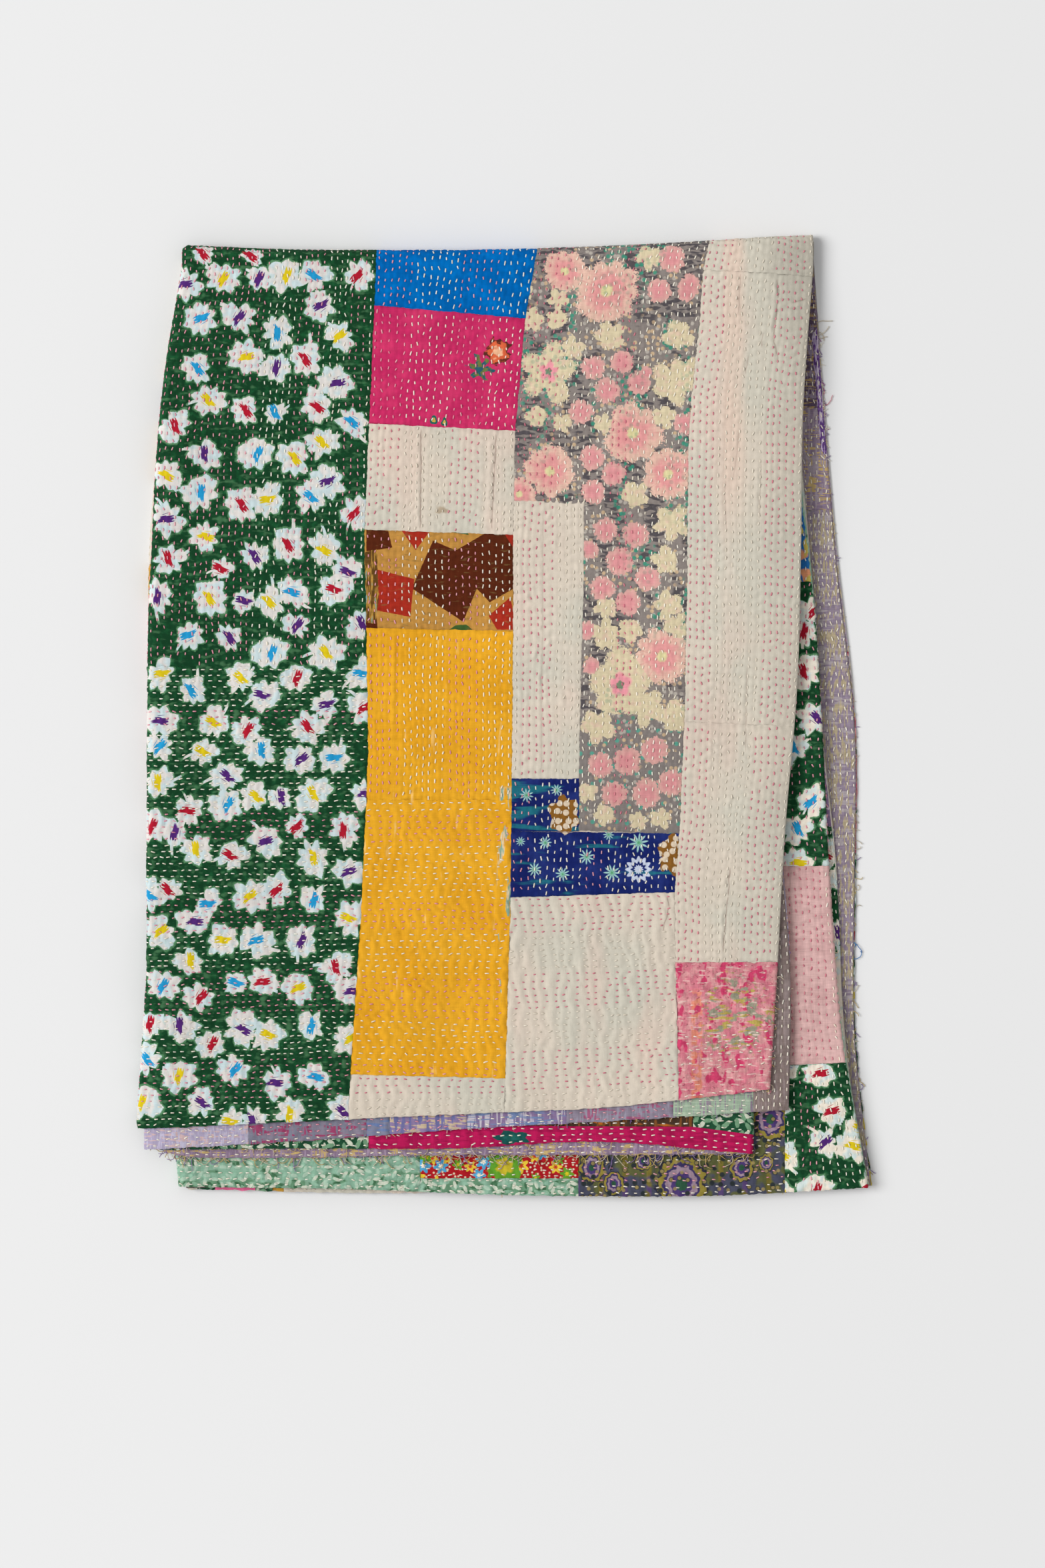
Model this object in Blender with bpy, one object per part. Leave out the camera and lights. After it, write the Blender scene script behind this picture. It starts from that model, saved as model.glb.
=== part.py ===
"""A patchwork kantha quilt, folded into eight layers and lying flat.

The cloth is one sheet. Its long side is folded in half twice, which stacks four quarters,
and that strip is folded once across its middle. Seen from above, the last fold is the far
edge (+Y), two of the side folds are on the left (-X), and the hems lie staggered on the near
edge (-Y) and on the right. Sizes are metres, +Z is up, and the surface is at z = 0.
"""

import math
from collections import namedtuple

import bpy
import numpy as np

# The cloth, and the space that one layer of the stack takes with the air above it
THICKNESS = 0.0020
PITCH = 0.0029
PITCH_SWELL = 0.07  # share by which the air between two layers varies
SWELL_LENGTH = 0.210  # from one swell to the next

# How a layer comes down past the edge of one below it
CLEAR_OF_EDGE = 0.006
DROP_LENGTH = 0.055

# Rows of running stitch, raised at twice their real distance
ROW_PITCH = 0.0130
ROW_HEIGHT = 0.0004
ROWS_TURN = 0.62  # share of the top quarter's length from the fold to where rows run across

# Steps in a bend, and where the plain mesh has its columns and rows
OUTER_BEND_STEPS = 5
INNER_BEND_STEPS = 3
TOP_BEND_STEPS = 6
PLAIN_COLUMNS = (0, 0.025, 0.055, 0.09, 0.14, 0.27, 0.46, 0.65, 0.8, 0.86, 0.91, 0.955, 1)
PLAIN_ROWS = (0, 0.05, 0.12, 0.22, 0.32, 0.42, 0.52, ROWS_TURN, 0.7, 0.78, 0.86, 0.93, 1)

QUILT_GREEN = (0.030, 0.110, 0.045, 1.0)
CLOTH_ROUGHNESS = 0.9

# X of each side of a quarter, at seven even steps from the last fold to the hem
Side = namedtuple("Side", "fold sixth third half two_thirds five_sixths hem")
OUTER_LEFT_FRONT = Side(-0.2613, -0.2783, -0.2860, -0.2893, -0.2899, -0.2904, -0.2981)
INNER_LEFT_FRONT = Side(-0.2593, -0.2763, -0.2840, -0.2873, -0.2879, -0.2884, -0.2955)
FIRST_RIGHT_FRONT = Side(0.2541, 0.2456, 0.2437, 0.2404, 0.2305, 0.2239, 0.2167)
LAST_RIGHT_FRONT = Side(0.2260, 0.2270, 0.2280, 0.2285, 0.2272, 0.2351, 0.2332)
BEND_RIGHT_FRONT = Side(0.2050, 0.2055, 0.2060, 0.2060, 0.2055, 0.2040, 0.2024)
OUTER_LEFT_BACK = Side(-0.2613, -0.2797, -0.2893, -0.2871, -0.2811, -0.2723, -0.2640)
INNER_LEFT_BACK = Side(-0.2593, -0.2777, -0.2873, -0.2851, -0.2791, -0.2703, -0.2620)
FIRST_RIGHT_BACK = Side(0.2541, 0.2635, 0.2745, 0.2888, 0.2888, 0.2888, 0.3025)
LAST_RIGHT_BACK = Side(0.2260, 0.2400, 0.2525, 0.2610, 0.2739, 0.2805, 0.2976)
BEND_RIGHT_BACK = Side(0.2050, 0.2320, 0.2503, 0.2596, 0.2662, 0.2767, 0.2987)

# Y of each hem, at five even steps from left to right
Hem = namedtuple("Hem", "left quarter middle three_quarters right")
Quarter = namedtuple("Quarter", "left right hem faces_up")
QUARTERS = {
    ("first", "front"): Quarter(
        OUTER_LEFT_FRONT, FIRST_RIGHT_FRONT, Hem(-0.3388, -0.3328, -0.3267, -0.3207, -0.3064), 1
    ),
    ("last", "front"): Quarter(
        INNER_LEFT_FRONT, LAST_RIGHT_FRONT, Hem(-0.3564, -0.3487, -0.3388, -0.3317, -0.3234), -1
    ),
    ("third", "front"): Quarter(
        INNER_LEFT_FRONT, BEND_RIGHT_FRONT, Hem(-0.3564, -0.3553, -0.3553, -0.3498, -0.3597), 1
    ),
    ("second", "front"): Quarter(
        OUTER_LEFT_FRONT, BEND_RIGHT_FRONT, Hem(-0.3635, -0.3630, -0.3608, -0.3608, -0.3597), -1
    ),
    ("second", "back"): Quarter(
        OUTER_LEFT_BACK, BEND_RIGHT_BACK, Hem(-0.3872, -0.3895, -0.3944, -0.3949, -0.3883), 1
    ),
    ("third", "back"): Quarter(
        INNER_LEFT_BACK, BEND_RIGHT_BACK, Hem(-0.3895, -0.3850, -0.3855, -0.3866, -0.3883), -1
    ),
    ("last", "back"): Quarter(
        INNER_LEFT_BACK, LAST_RIGHT_BACK, Hem(-0.3895, -0.3927, -0.3922, -0.3910, -0.3861), 1
    ),
    ("first", "back"): Quarter(
        OUTER_LEFT_BACK, FIRST_RIGHT_BACK, Hem(-0.3872, -0.3889, -0.3905, -0.3911, -0.3872), -1
    ),
}
STACK = tuple(reversed(QUARTERS))  # from the surface up

# The second quarter's hem is pulled up at its left end, where the first quarter's shorter hem leads into it
HEM_PULL = QUARTERS["second", "front"].hem.left - QUARTERS["first", "front"].hem.left
HEM_PULL_LENGTH = 0.012

# Y of the last fold's far edge, at seven even steps from left to right
Ridge = namedtuple("Ridge", "left sixth third half two_thirds five_sixths right")
FAR_EDGE = Ridge(0.3889, 0.3856, 0.3850, 0.3856, 0.3883, 0.3927, 0.3982)
FOLD_CENTRE_Y = 0.372  # about where the flat layers end and the last fold starts


def along(values, share):
    """A smooth curve through evenly spaced values, read at a share of its length."""
    values = np.asarray(values, float)
    place = np.clip(np.asarray(share, float), 0, 1) * (len(values) - 1)
    low = np.minimum(place.astype(int), len(values) - 2)
    slopes = np.gradient(values)
    t = place - low
    return (
        (1 + 2 * t) * (1 - t) ** 2 * values[low]
        + t * (1 - t) ** 2 * slopes[low]
        + t**2 * (3 - 2 * t) * values[low + 1]
        - t**2 * (1 - t) * slopes[low + 1]
    )


def smooth(share):
    share = np.clip(share, 0, 1)
    return share * share * (3 - 2 * share)


def hem_y(key, across):
    """Y of a quarter's hem at a share of its width from the left."""
    quarter = QUARTERS[key]
    y = along(quarter.hem, across)
    if key == ("second", "front"):
        width = quarter.right.hem - quarter.left.hem
        y = y - HEM_PULL * np.exp(-np.asarray(across) * width / HEM_PULL_LENGTH)
    return y


def cover(key, x, y):
    """1 over a quarter and just past its edges, falling to 0 further out."""
    quarter = QUARTERS[key]
    down = (FOLD_CENTRE_Y - y) / (FOLD_CENTRE_Y - quarter.hem.middle)
    left = along(quarter.left, down)
    right = along(quarter.right, down)
    inside = np.minimum(x - left, right - x)
    inside = np.minimum(inside, y - hem_y(key, (x - left) / (right - left)))
    return smooth((inside + CLEAR_OF_EDGE + DROP_LENGTH) / DROP_LENGTH)


def layer_pitch(number, x, y):
    """The height that a layer and the air above it take, which swells a little."""
    turn = 2 * math.pi / SWELL_LENGTH
    swell = np.sin(turn * x + 1.7 * number) * np.cos(turn * y * 0.8 - 2.3 * number)
    return PITCH * (1 + PITCH_SWELL * swell)


def height(key, x, y):
    """Z of the middle of a quarter's cloth, which lies on all that is below it."""
    z = THICKNESS / 2
    for number, below in enumerate(STACK[: STACK.index(key)]):
        z = z + cover(below, x, y) * layer_pitch(number, x, y)
    return z


def fold_start(x):
    """Y where the flat layers end and bend round the last fold."""
    left, right = OUTER_LEFT_FRONT.fold, FIRST_RIGHT_FRONT.fold
    edge = along(FAR_EDGE, (x - left) / (right - left))
    top = height(("first", "front"), x, FOLD_CENTRE_Y)
    bottom = height(("first", "back"), x, FOLD_CENTRE_Y)
    return edge - (top - bottom + THICKNESS) / 2


def flat_point(key, across, down, skin):
    """A point of a quarter: across from the left, down from the last fold, skin +1 on the patched face."""
    quarter = QUARTERS[key]
    left = along(quarter.left, down)
    right = along(quarter.right, down)
    x = left + (right - left) * across
    start = fold_start(x)
    y = start + (hem_y(key, across) - start) * down
    return np.array([x, y, height(key, x, y) + skin * quarter.faces_up * THICKNESS / 2])


def bent(above, below, share, outward):
    """A point on the half round between two points of one place and different heights."""
    radius = abs(above[2] - below[2]) / 2
    point = above + (below - above) * (1 - math.cos(math.pi * share)) / 2
    return point + np.array(outward) * radius * math.sin(math.pi * share)


def section(half):
    """The strip's section as a list of columns, each a function of (down, skin), from hem to hem."""

    def flat(name, across):
        return lambda down, skin: flat_point((name, half), across, down, skin)

    def bend(start, end, across, share):
        outward = (-1, 0, 0) if across == 0 else (1, 0, 0)
        return lambda down, skin: bent(
            flat_point((start, half), across, down, skin),
            flat_point((end, half), across, down, skin),
            share,
            outward,
        )

    columns = [flat("first", across) for across in reversed(PLAIN_COLUMNS)]
    for start, end, across, steps in (
        ("first", "second", 0, OUTER_BEND_STEPS),
        ("second", "third", 1, INNER_BEND_STEPS),
        ("third", "last", 0, INNER_BEND_STEPS),
    ):
        columns += [bend(start, end, across, step / steps) for step in range(1, steps)]
        places = PLAIN_COLUMNS if across == 0 else reversed(PLAIN_COLUMNS)
        columns += [flat(end, place) for place in places]
    return columns


def plain_skin(skin):
    """The points of one face of the cloth, as rows from the front hem over the last fold to the back hem."""
    front = [[column(down, skin) for column in section("front")] for down in reversed(PLAIN_ROWS)]
    back = [[column(down, skin) for column in section("back")] for down in PLAIN_ROWS]
    turn = [
        [
            bent(above, below, step / TOP_BEND_STEPS, (0, 1, 0))
            for above, below in zip(front[-1], back[0])
        ]
        for step in range(1, TOP_BEND_STEPS)
    ]
    return front + turn + back


def even(start, stop, step):
    """Evenly spaced shares from start to stop, about a step apart, an even number of them."""
    count = 2 * max(1, round(abs(stop - start) / step / 2))
    return [start + (stop - start) * i / count for i in range(count + 1)]


class Sheet:
    """Points and faces of the closed cloth."""

    def __init__(self):
        self.points = []
        self.faces = []

    def add(self, point):
        self.points.append(tuple(point))
        return len(self.points) - 1

    def quads(self, rows, skip=lambda row, column: False):
        """Faces between rows of equal length, facing up where rows go +Y and columns -X."""
        for i, (low, high) in enumerate(zip(rows, rows[1:])):
            for j in range(len(low) - 1):
                if not skip(i, j):
                    self.faces.append((low[j + 1], low[j], high[j], high[j + 1]))

    def shares(self, row):
        """How far along its row each point is, from 0 to 1."""
        points = np.array([self.points[i] for i in row])
        steps = np.linalg.norm(np.diff(points, axis=0), axis=1)
        return np.concatenate([[0], np.cumsum(steps)]) / steps.sum()

    def zip_rows(self, low, high):
        """Triangles between two rows of unequal length that start and end at the same sides."""
        low_shares = self.shares(low)
        high_shares = self.shares(high)
        i = j = 0
        while i < len(low) - 1 or j < len(high) - 1:
            if j == len(high) - 1 or (i < len(low) - 1 and low_shares[i + 1] <= high_shares[j + 1]):
                self.faces.append((low[i + 1], low[i], high[j]))
                i += 1
            else:
                self.faces.append((low[i], high[j], high[j + 1]))
                j += 1


def far_rows(sheet, patched, turn_row, top_row):
    """The top quarter's far part, where the rows of stitches run down from the last fold."""
    last_column = len(PLAIN_COLUMNS) - 1
    width = FIRST_RIGHT_FRONT.half - OUTER_LEFT_FRONT.half
    places = even(1, 0, ROW_PITCH / 2 / width)[1:-1]
    rows = []
    for row in range(turn_row, top_row + 1):
        down = PLAIN_ROWS[top_row - row]
        middle = [
            sheet.add(raised_point(across, down, (-1) ** i)) for i, across in enumerate(places)
        ]
        rows.append([patched[row][0], *middle, patched[row][last_column]])
    return rows


def near_rows(sheet, patched):
    """The top quarter's near part, where the rows of stitches run across it and fade at its sides."""
    length = FOLD_CENTRE_Y - QUARTERS["first", "front"].hem.middle
    rows = [patched[0][: len(PLAIN_COLUMNS)]]
    for i, down in enumerate(even(1, ROWS_TURN, ROW_PITCH / 2 / length)[1:-1]):
        points = [
            raised_point(across, down, (-1) ** i if 0 < across < 1 else 0)
            for across in reversed(PLAIN_COLUMNS)
        ]
        rows.append([sheet.add(point) for point in points])
    return rows


def raised_point(across, down, up):
    point = flat_point(("first", "front"), across, down, 1)
    return point + np.array([0, 0, up * ROW_HEIGHT])


def build_quilt():
    sheet = Sheet()
    patched = [[sheet.add(p) for p in row] for row in plain_skin(1)]
    lining = [[sheet.add(p) for p in row] for row in plain_skin(-1)]
    last_column = len(PLAIN_COLUMNS) - 1
    top_row = len(PLAIN_ROWS) - 1
    turn_row = top_row - PLAIN_ROWS.index(ROWS_TURN)

    # The top quarter's patched face
    near = near_rows(sheet, patched)
    far = far_rows(sheet, patched, turn_row, top_row)
    sheet.quads(near)
    sheet.zip_rows(near[-1], far[0])
    sheet.quads(far)

    # The rest of that face, joined to it over the last fold and into the left bend
    def stitched(row, column):
        on_top = column < last_column and row <= top_row
        beside = column == last_column and row < turn_row
        return on_top or beside

    sheet.quads(patched, stitched)
    sheet.zip_rows(far[-1], patched[top_row + 1][: last_column + 1])
    bend_side = [patched[row][last_column + 1] for row in range(turn_row + 1)]
    sheet.zip_rows(bend_side, [row[-1] for row in near] + [far[0][-1]])

    # The other face, wound the other way
    sheet.quads([list(reversed(row)) for row in lining])

    # The rims: both hems, then the free side of the first and of the last quarter
    sheet.quads([lining[0], patched[0]])
    sheet.quads([patched[-1], lining[-1]])
    near_side = [row[0] for row in near] + [far[0][0]]
    far_side = [row[0] for row in far] + [row[0] for row in patched[top_row + 1 :]]
    lining_side = [row[0] for row in lining]
    sheet.zip_rows(near_side, lining_side[: turn_row + 1])
    sheet.quads([far_side, lining_side[turn_row:]])
    sheet.quads([[row[-1] for row in lining], [row[-1] for row in patched]])
    used = sorted({i for face in sheet.faces for i in face})
    renumbered = {old: new for new, old in enumerate(used)}
    points = [sheet.points[i] for i in used]
    return points, [[renumbered[i] for i in face] for face in sheet.faces]


def cloth_material():
    material = bpy.data.materials.new("patched_cotton")
    material.use_nodes = True
    shader = material.node_tree.nodes["Principled BSDF"]
    shader.inputs["Base Color"].default_value = QUILT_GREEN
    shader.inputs["Roughness"].default_value = CLOTH_ROUGHNESS
    return material


def main():
    for old in list(bpy.data.objects):
        bpy.data.objects.remove(old)
    points, faces = build_quilt()
    points = np.array(points)
    points[:, :2] -= (points.min(axis=0) + points.max(axis=0))[:2] / 2
    mesh = bpy.data.meshes.new("quilt")
    mesh.from_pydata(points, [], faces)
    mesh.materials.append(cloth_material())
    mesh.shade_smooth()
    quilt = bpy.data.objects.new("quilt", mesh)
    bpy.context.scene.collection.objects.link(quilt)


main()
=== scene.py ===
"""The looks of the folded kantha quilt: its patches, prints, running stitches and frayed threads."""

import math
from collections import namedtuple

import bpy
import numpy as np
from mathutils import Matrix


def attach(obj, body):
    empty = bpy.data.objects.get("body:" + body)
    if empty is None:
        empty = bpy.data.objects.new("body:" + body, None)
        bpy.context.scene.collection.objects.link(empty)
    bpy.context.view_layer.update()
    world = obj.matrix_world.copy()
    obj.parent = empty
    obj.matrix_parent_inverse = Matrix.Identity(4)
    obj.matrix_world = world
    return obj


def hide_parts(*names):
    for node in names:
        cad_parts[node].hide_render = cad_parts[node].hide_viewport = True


# Sizes, in metres
METRES_PER_PIXEL = 0.00055
MIDDLE_PIXEL = (758, 1075)  # the pixel of the photograph at the folded outline's middle
FRAME_PIXELS = (1568, 2352)
CENTRING = (0.000282, -0.001391)  # from the outline's middle to the solid's middle
THICKNESS = 0.0020
HALF = THICKNESS / 2
BASE_HALF = 0.0002  # half of the inner cloth, which the patches cover
WAVE = 0.0012  # soft waves of the top quarter
WAVE_LENGTH = 0.075
PITCH = 0.0029
PITCH_SWELL = 0.07
SWELL_LENGTH = 0.210
CLEAR_OF_EDGE = 0.006
DROP_LENGTH = 0.055
FOLD_CENTRE_Y = 0.372

STITCH_LENGTH = 0.0029
STITCH_WIDTH = 0.0010
WHITE_LONGER = 1.3  # how much longer a white stitch is than a pink one
# How far apart the stitches are along a row and the rows from each other, where they run down and across
Pitch = namedtuple("Pitch", "stitch row")
DOWN_PITCH = Pitch(0.0074, 0.0055)
ACROSS_PITCH = Pitch(0.0084, 0.0052)
UNDER_COARSER = 1.5  # how much further apart the underside's stitches are
PRINT_PITCH = {"daisy": Pitch(0.0070, 0.0050)}
RIDGE = 0.00040  # height of the cloth between two rows of stitches
RIPPLE = 0.00092  # height of the puckers along a row
FRAY = 0.0007  # how unevenly a cut edge runs

# The folded outline, as part.py has it
Side = namedtuple("Side", "fold sixth third half two_thirds five_sixths hem")
OUTER_LEFT_FRONT = Side(-0.2613, -0.2783, -0.2860, -0.2893, -0.2899, -0.2904, -0.2981)
INNER_LEFT_FRONT = Side(-0.2593, -0.2763, -0.2840, -0.2873, -0.2879, -0.2884, -0.2955)
FIRST_RIGHT_FRONT = Side(0.2541, 0.2456, 0.2437, 0.2404, 0.2305, 0.2239, 0.2167)
LAST_RIGHT_FRONT = Side(0.2260, 0.2270, 0.2280, 0.2285, 0.2272, 0.2351, 0.2332)
BEND_RIGHT_FRONT = Side(0.2050, 0.2055, 0.2060, 0.2060, 0.2055, 0.2040, 0.2024)
OUTER_LEFT_BACK = Side(-0.2613, -0.2797, -0.2893, -0.2871, -0.2811, -0.2723, -0.2640)
INNER_LEFT_BACK = Side(-0.2593, -0.2777, -0.2873, -0.2851, -0.2791, -0.2703, -0.2620)
FIRST_RIGHT_BACK = Side(0.2541, 0.2635, 0.2745, 0.2888, 0.2888, 0.2888, 0.3025)
LAST_RIGHT_BACK = Side(0.2260, 0.2400, 0.2525, 0.2610, 0.2739, 0.2805, 0.2976)
BEND_RIGHT_BACK = Side(0.2050, 0.2320, 0.2503, 0.2596, 0.2662, 0.2767, 0.2987)
Hem = namedtuple("Hem", "left quarter middle three_quarters right")
Quarter = namedtuple("Quarter", "left right hem faces_up")
QUARTERS = {
    ("first", "front"): Quarter(
        OUTER_LEFT_FRONT, FIRST_RIGHT_FRONT, Hem(-0.3388, -0.3328, -0.3267, -0.3207, -0.3064), 1
    ),
    ("last", "front"): Quarter(
        INNER_LEFT_FRONT, LAST_RIGHT_FRONT, Hem(-0.3564, -0.3487, -0.3388, -0.3317, -0.3234), -1
    ),
    ("third", "front"): Quarter(
        INNER_LEFT_FRONT, BEND_RIGHT_FRONT, Hem(-0.3564, -0.3553, -0.3553, -0.3498, -0.3597), 1
    ),
    ("second", "front"): Quarter(
        OUTER_LEFT_FRONT, BEND_RIGHT_FRONT, Hem(-0.3635, -0.3630, -0.3608, -0.3608, -0.3597), -1
    ),
    ("second", "back"): Quarter(
        OUTER_LEFT_BACK, BEND_RIGHT_BACK, Hem(-0.3872, -0.3895, -0.3944, -0.3949, -0.3883), 1
    ),
    ("third", "back"): Quarter(
        INNER_LEFT_BACK, BEND_RIGHT_BACK, Hem(-0.3895, -0.3850, -0.3855, -0.3866, -0.3883), -1
    ),
    ("last", "back"): Quarter(
        INNER_LEFT_BACK, LAST_RIGHT_BACK, Hem(-0.3895, -0.3927, -0.3922, -0.3910, -0.3861), 1
    ),
    ("first", "back"): Quarter(
        OUTER_LEFT_BACK, FIRST_RIGHT_BACK, Hem(-0.3872, -0.3889, -0.3905, -0.3911, -0.3872), -1
    ),
}
STACK = tuple(reversed(QUARTERS))
TOP = ("first", "front")
SURFACE = ("first", "back")
HEM_PULL = QUARTERS["second", "front"].hem.left - QUARTERS[TOP].hem.left
HEM_PULL_LENGTH = 0.012
Ridge = namedtuple("Ridge", "left sixth third half two_thirds five_sixths right")
FAR_EDGE = Ridge(0.3889, 0.3856, 0.3850, 0.3856, 0.3883, 0.3927, 0.3982)
# The quarter below that each side of a quarter bends down to
BENDS_DOWN = {
    (TOP, "left"): ("second", "front"),
    (("last", "front"), "left"): ("third", "front"),
    (("third", "front"), "right"): ("second", "front"),
    (("second", "back"), "left"): SURFACE,
    (("second", "back"), "right"): ("third", "back"),
    (("third", "back"), "left"): ("last", "back"),
}


def along(values, share):
    values = np.asarray(values, float)
    place = np.clip(np.asarray(share, float), 0, 1) * (len(values) - 1)
    low = np.minimum(place.astype(int), len(values) - 2)
    slopes = np.gradient(values)
    t = place - low
    return (
        (1 + 2 * t) * (1 - t) ** 2 * values[low]
        + t * (1 - t) ** 2 * slopes[low]
        + t**2 * (3 - 2 * t) * values[low + 1]
        - t**2 * (1 - t) * slopes[low + 1]
    )


def smooth(share):
    share = np.clip(share, 0, 1)
    return share * share * (3 - 2 * share)


def hem_y(key, across):
    quarter = QUARTERS[key]
    y = along(quarter.hem, across)
    if key == ("second", "front"):
        width = quarter.right.hem - quarter.left.hem
        y = y - HEM_PULL * np.exp(-np.asarray(across) * width / HEM_PULL_LENGTH)
    return y


def share_down(key, y):
    return (FOLD_CENTRE_Y - y) / (FOLD_CENTRE_Y - QUARTERS[key].hem.middle)


def side_x(key, side, y):
    return along(getattr(QUARTERS[key], side), share_down(key, y))


def cover(key, x, y):
    left = side_x(key, "left", y)
    right = side_x(key, "right", y)
    inside = np.minimum(x - left, right - x)
    inside = np.minimum(inside, y - hem_y(key, (x - left) / (right - left)))
    return smooth((inside + CLEAR_OF_EDGE + DROP_LENGTH) / DROP_LENGTH)


def layer_pitch(number, x, y):
    turn = 2 * math.pi / SWELL_LENGTH
    swell = np.sin(turn * x + 1.7 * number) * np.cos(turn * y * 0.8 - 2.3 * number)
    return PITCH * (1 + PITCH_SWELL * swell)


def height(key, x, y):
    z = HALF + 0 * (x + y)
    for number, below in enumerate(STACK[: STACK.index(key)]):
        z = z + cover(below, x, y) * layer_pitch(number, x, y)
    if key == TOP:
        z = z + WAVE * (0.5 + 0.5 * noise(x, y * 0.6, WAVE_LENGTH, 5))
    return z


def fold_start(x):
    left, right = OUTER_LEFT_FRONT.fold, FIRST_RIGHT_FRONT.fold
    edge = along(FAR_EDGE, (x - left) / (right - left))
    top = height(TOP, x, FOLD_CENTRE_Y)
    bottom = height(SURFACE, x, FOLD_CENTRE_Y)
    return edge - (top - bottom + THICKNESS) / 2


def noise(u, v, size, seed):
    """Smooth bumps between about -1 and 1, a size apart."""
    rng = np.random.default_rng(seed)
    total = 0
    for _ in range(7):
        angle = rng.uniform(0, 2 * math.pi)
        wave = 2 * math.pi / size * rng.uniform(0.55, 1.35)
        total = total + np.sin(
            wave * (u * math.cos(angle) + v * math.sin(angle)) + rng.uniform(0, 2 * math.pi)
        )
    return total / 3.2


class Skin:
    """A visible face of one quarter, which goes on round its bends to the quarter below."""

    def __init__(self, key, under=False):
        self.key = key
        self.under = under

    def wrap(self, side, y):
        """How far a patch can go on past a side: most of the way round its bend."""
        lower = BENDS_DOWN.get((self.key, side))
        if lower is None:
            return 0 * y
        x = side_x(self.key, side, y)
        return (self.radius(self.key, lower, x, y) + HALF) * math.pi * 0.92

    @staticmethod
    def radius(upper, lower, x, y):
        return (height(upper, x, y) - height(lower, x, y)) / 2

    def far(self, x):
        """How far a patch of the top quarter can go on past the last fold."""
        start = fold_start(x)
        return (self.radius(TOP, SURFACE, x, start) + HALF) * math.pi

    def place(self, x, y, lift):
        """Points at plan positions, a lift above the cloth's own face."""
        if self.under:
            return np.stack([x, y, np.maximum(0, -lift) + 0 * x], axis=-1)
        hem = QUARTERS[self.key].hem.middle
        start = fold_start(x)
        flat_y = np.minimum(y, start)
        left = side_x(self.key, "left", flat_y)
        right = side_x(self.key, "right", flat_y)
        flat_x = np.clip(x, left, right)
        z = height(self.key, flat_x, flat_y)
        radial = HALF + lift
        outer_x = flat_x
        outer_z = z + radial
        for side, sign in (("left", -1), ("right", 1)):
            lower = BENDS_DOWN.get((self.key, side))
            beyond = np.maximum((x - (left if side == "left" else right)) * sign, 0)
            if lower is None:
                # A cut edge: what is past it hangs over the rim
                outer_x = outer_x + sign * np.minimum(beyond, 0.0004)
                outer_z = outer_z - np.clip(beyond - 0.0002, 0, 0.0007)
                continue
            radius = self.radius(self.key, lower, flat_x, flat_y)
            angle = np.minimum(beyond / (radius + HALF), math.pi)
            bent = beyond > 0
            outer_x = np.where(bent, flat_x + sign * (radius + radial) * np.sin(angle), outer_x)
            outer_z = np.where(bent, z - radius + (radius + radial) * np.cos(angle), outer_z)
        if self.key != TOP:
            return np.stack([outer_x, y + 0 * outer_x, np.maximum(outer_z, 0)], axis=-1)
        bottom = height(SURFACE, flat_x, flat_y)
        centre = (z + bottom) / 2
        far_radius = (z - bottom) / 2 + HALF
        angle = np.minimum(np.maximum(y - start, 0) / far_radius, math.pi)
        reach = outer_z - centre
        turned_z = centre + reach * np.cos(angle)
        return np.stack(
            [
                outer_x,
                np.where(y > start, flat_y + reach * np.sin(angle), y),
                np.maximum(np.where(y > start, turned_z, outer_z), 0),
            ],
            axis=-1,
        )


def plan(pixel):
    """Plan position of a pixel of the photograph."""
    x, y = pixel
    return (
        (x - MIDDLE_PIXEL[0]) * METRES_PER_PIXEL,
        (MIDDLE_PIXEL[1] - y) * METRES_PER_PIXEL,
    )


def seam(*pixels):
    """X of a seam that runs down the quilt, as a function of Y."""
    points = np.array([plan(p) for p in pixels])[::-1]
    return lambda y: np.interp(y, points[:, 1], points[:, 0]) + 0.7 * frayed(y, 71)


def level(left_pixel, right_pixel=None):
    """Y of a seam that runs across, from pixel rows at its two ends, as a function of share and X."""
    right_pixel = left_pixel if right_pixel is None else right_pixel
    left_y = plan((0, left_pixel))[1]
    right_y = plan((0, right_pixel))[1]
    return lambda skin, s, x: left_y + (right_y - left_y) * s + 0.7 * frayed(x, 73)


def sloped(*pixels):
    """Y of a seam that runs across, through pixels."""
    points = np.array([plan(p) for p in pixels])
    return lambda skin, s, x: np.interp(x, points[:, 0], points[:, 1])


def far_fold(skin, s, x):
    return fold_start(x) + skin.far(x)


def frayed(run, seed):
    """How far a cut edge stands out, along its run."""
    return FRAY * (0.6 * noise(run, 0.0, 0.011, seed) + 0.4 * noise(run, 0.0, 0.003, seed + 1))


def hem_level(skin, s, x):
    left = side_x(skin.key, "left", hem_y(skin.key, 0.5))
    right = side_x(skin.key, "right", hem_y(skin.key, 0.5))
    level_y = hem_y(skin.key, np.clip((x - left) / (right - left), 0, 1))
    return level_y - 0.0009 + frayed(x, 31 + STACK.index(skin.key))


def outer(side):
    """The quarter's own side and its bend."""

    def x(skin, y):
        sign = -1 if side == "left" else 1
        edge = side_x(skin.key, side, np.minimum(y, fold_start(side_x(skin.key, side, y))))
        if (skin.key, side) in BENDS_DOWN:
            return edge + sign * skin.wrap(side, y)
        return edge + sign * (0.0012 + frayed(y, 51 + STACK.index(skin.key)))

    return x


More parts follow.
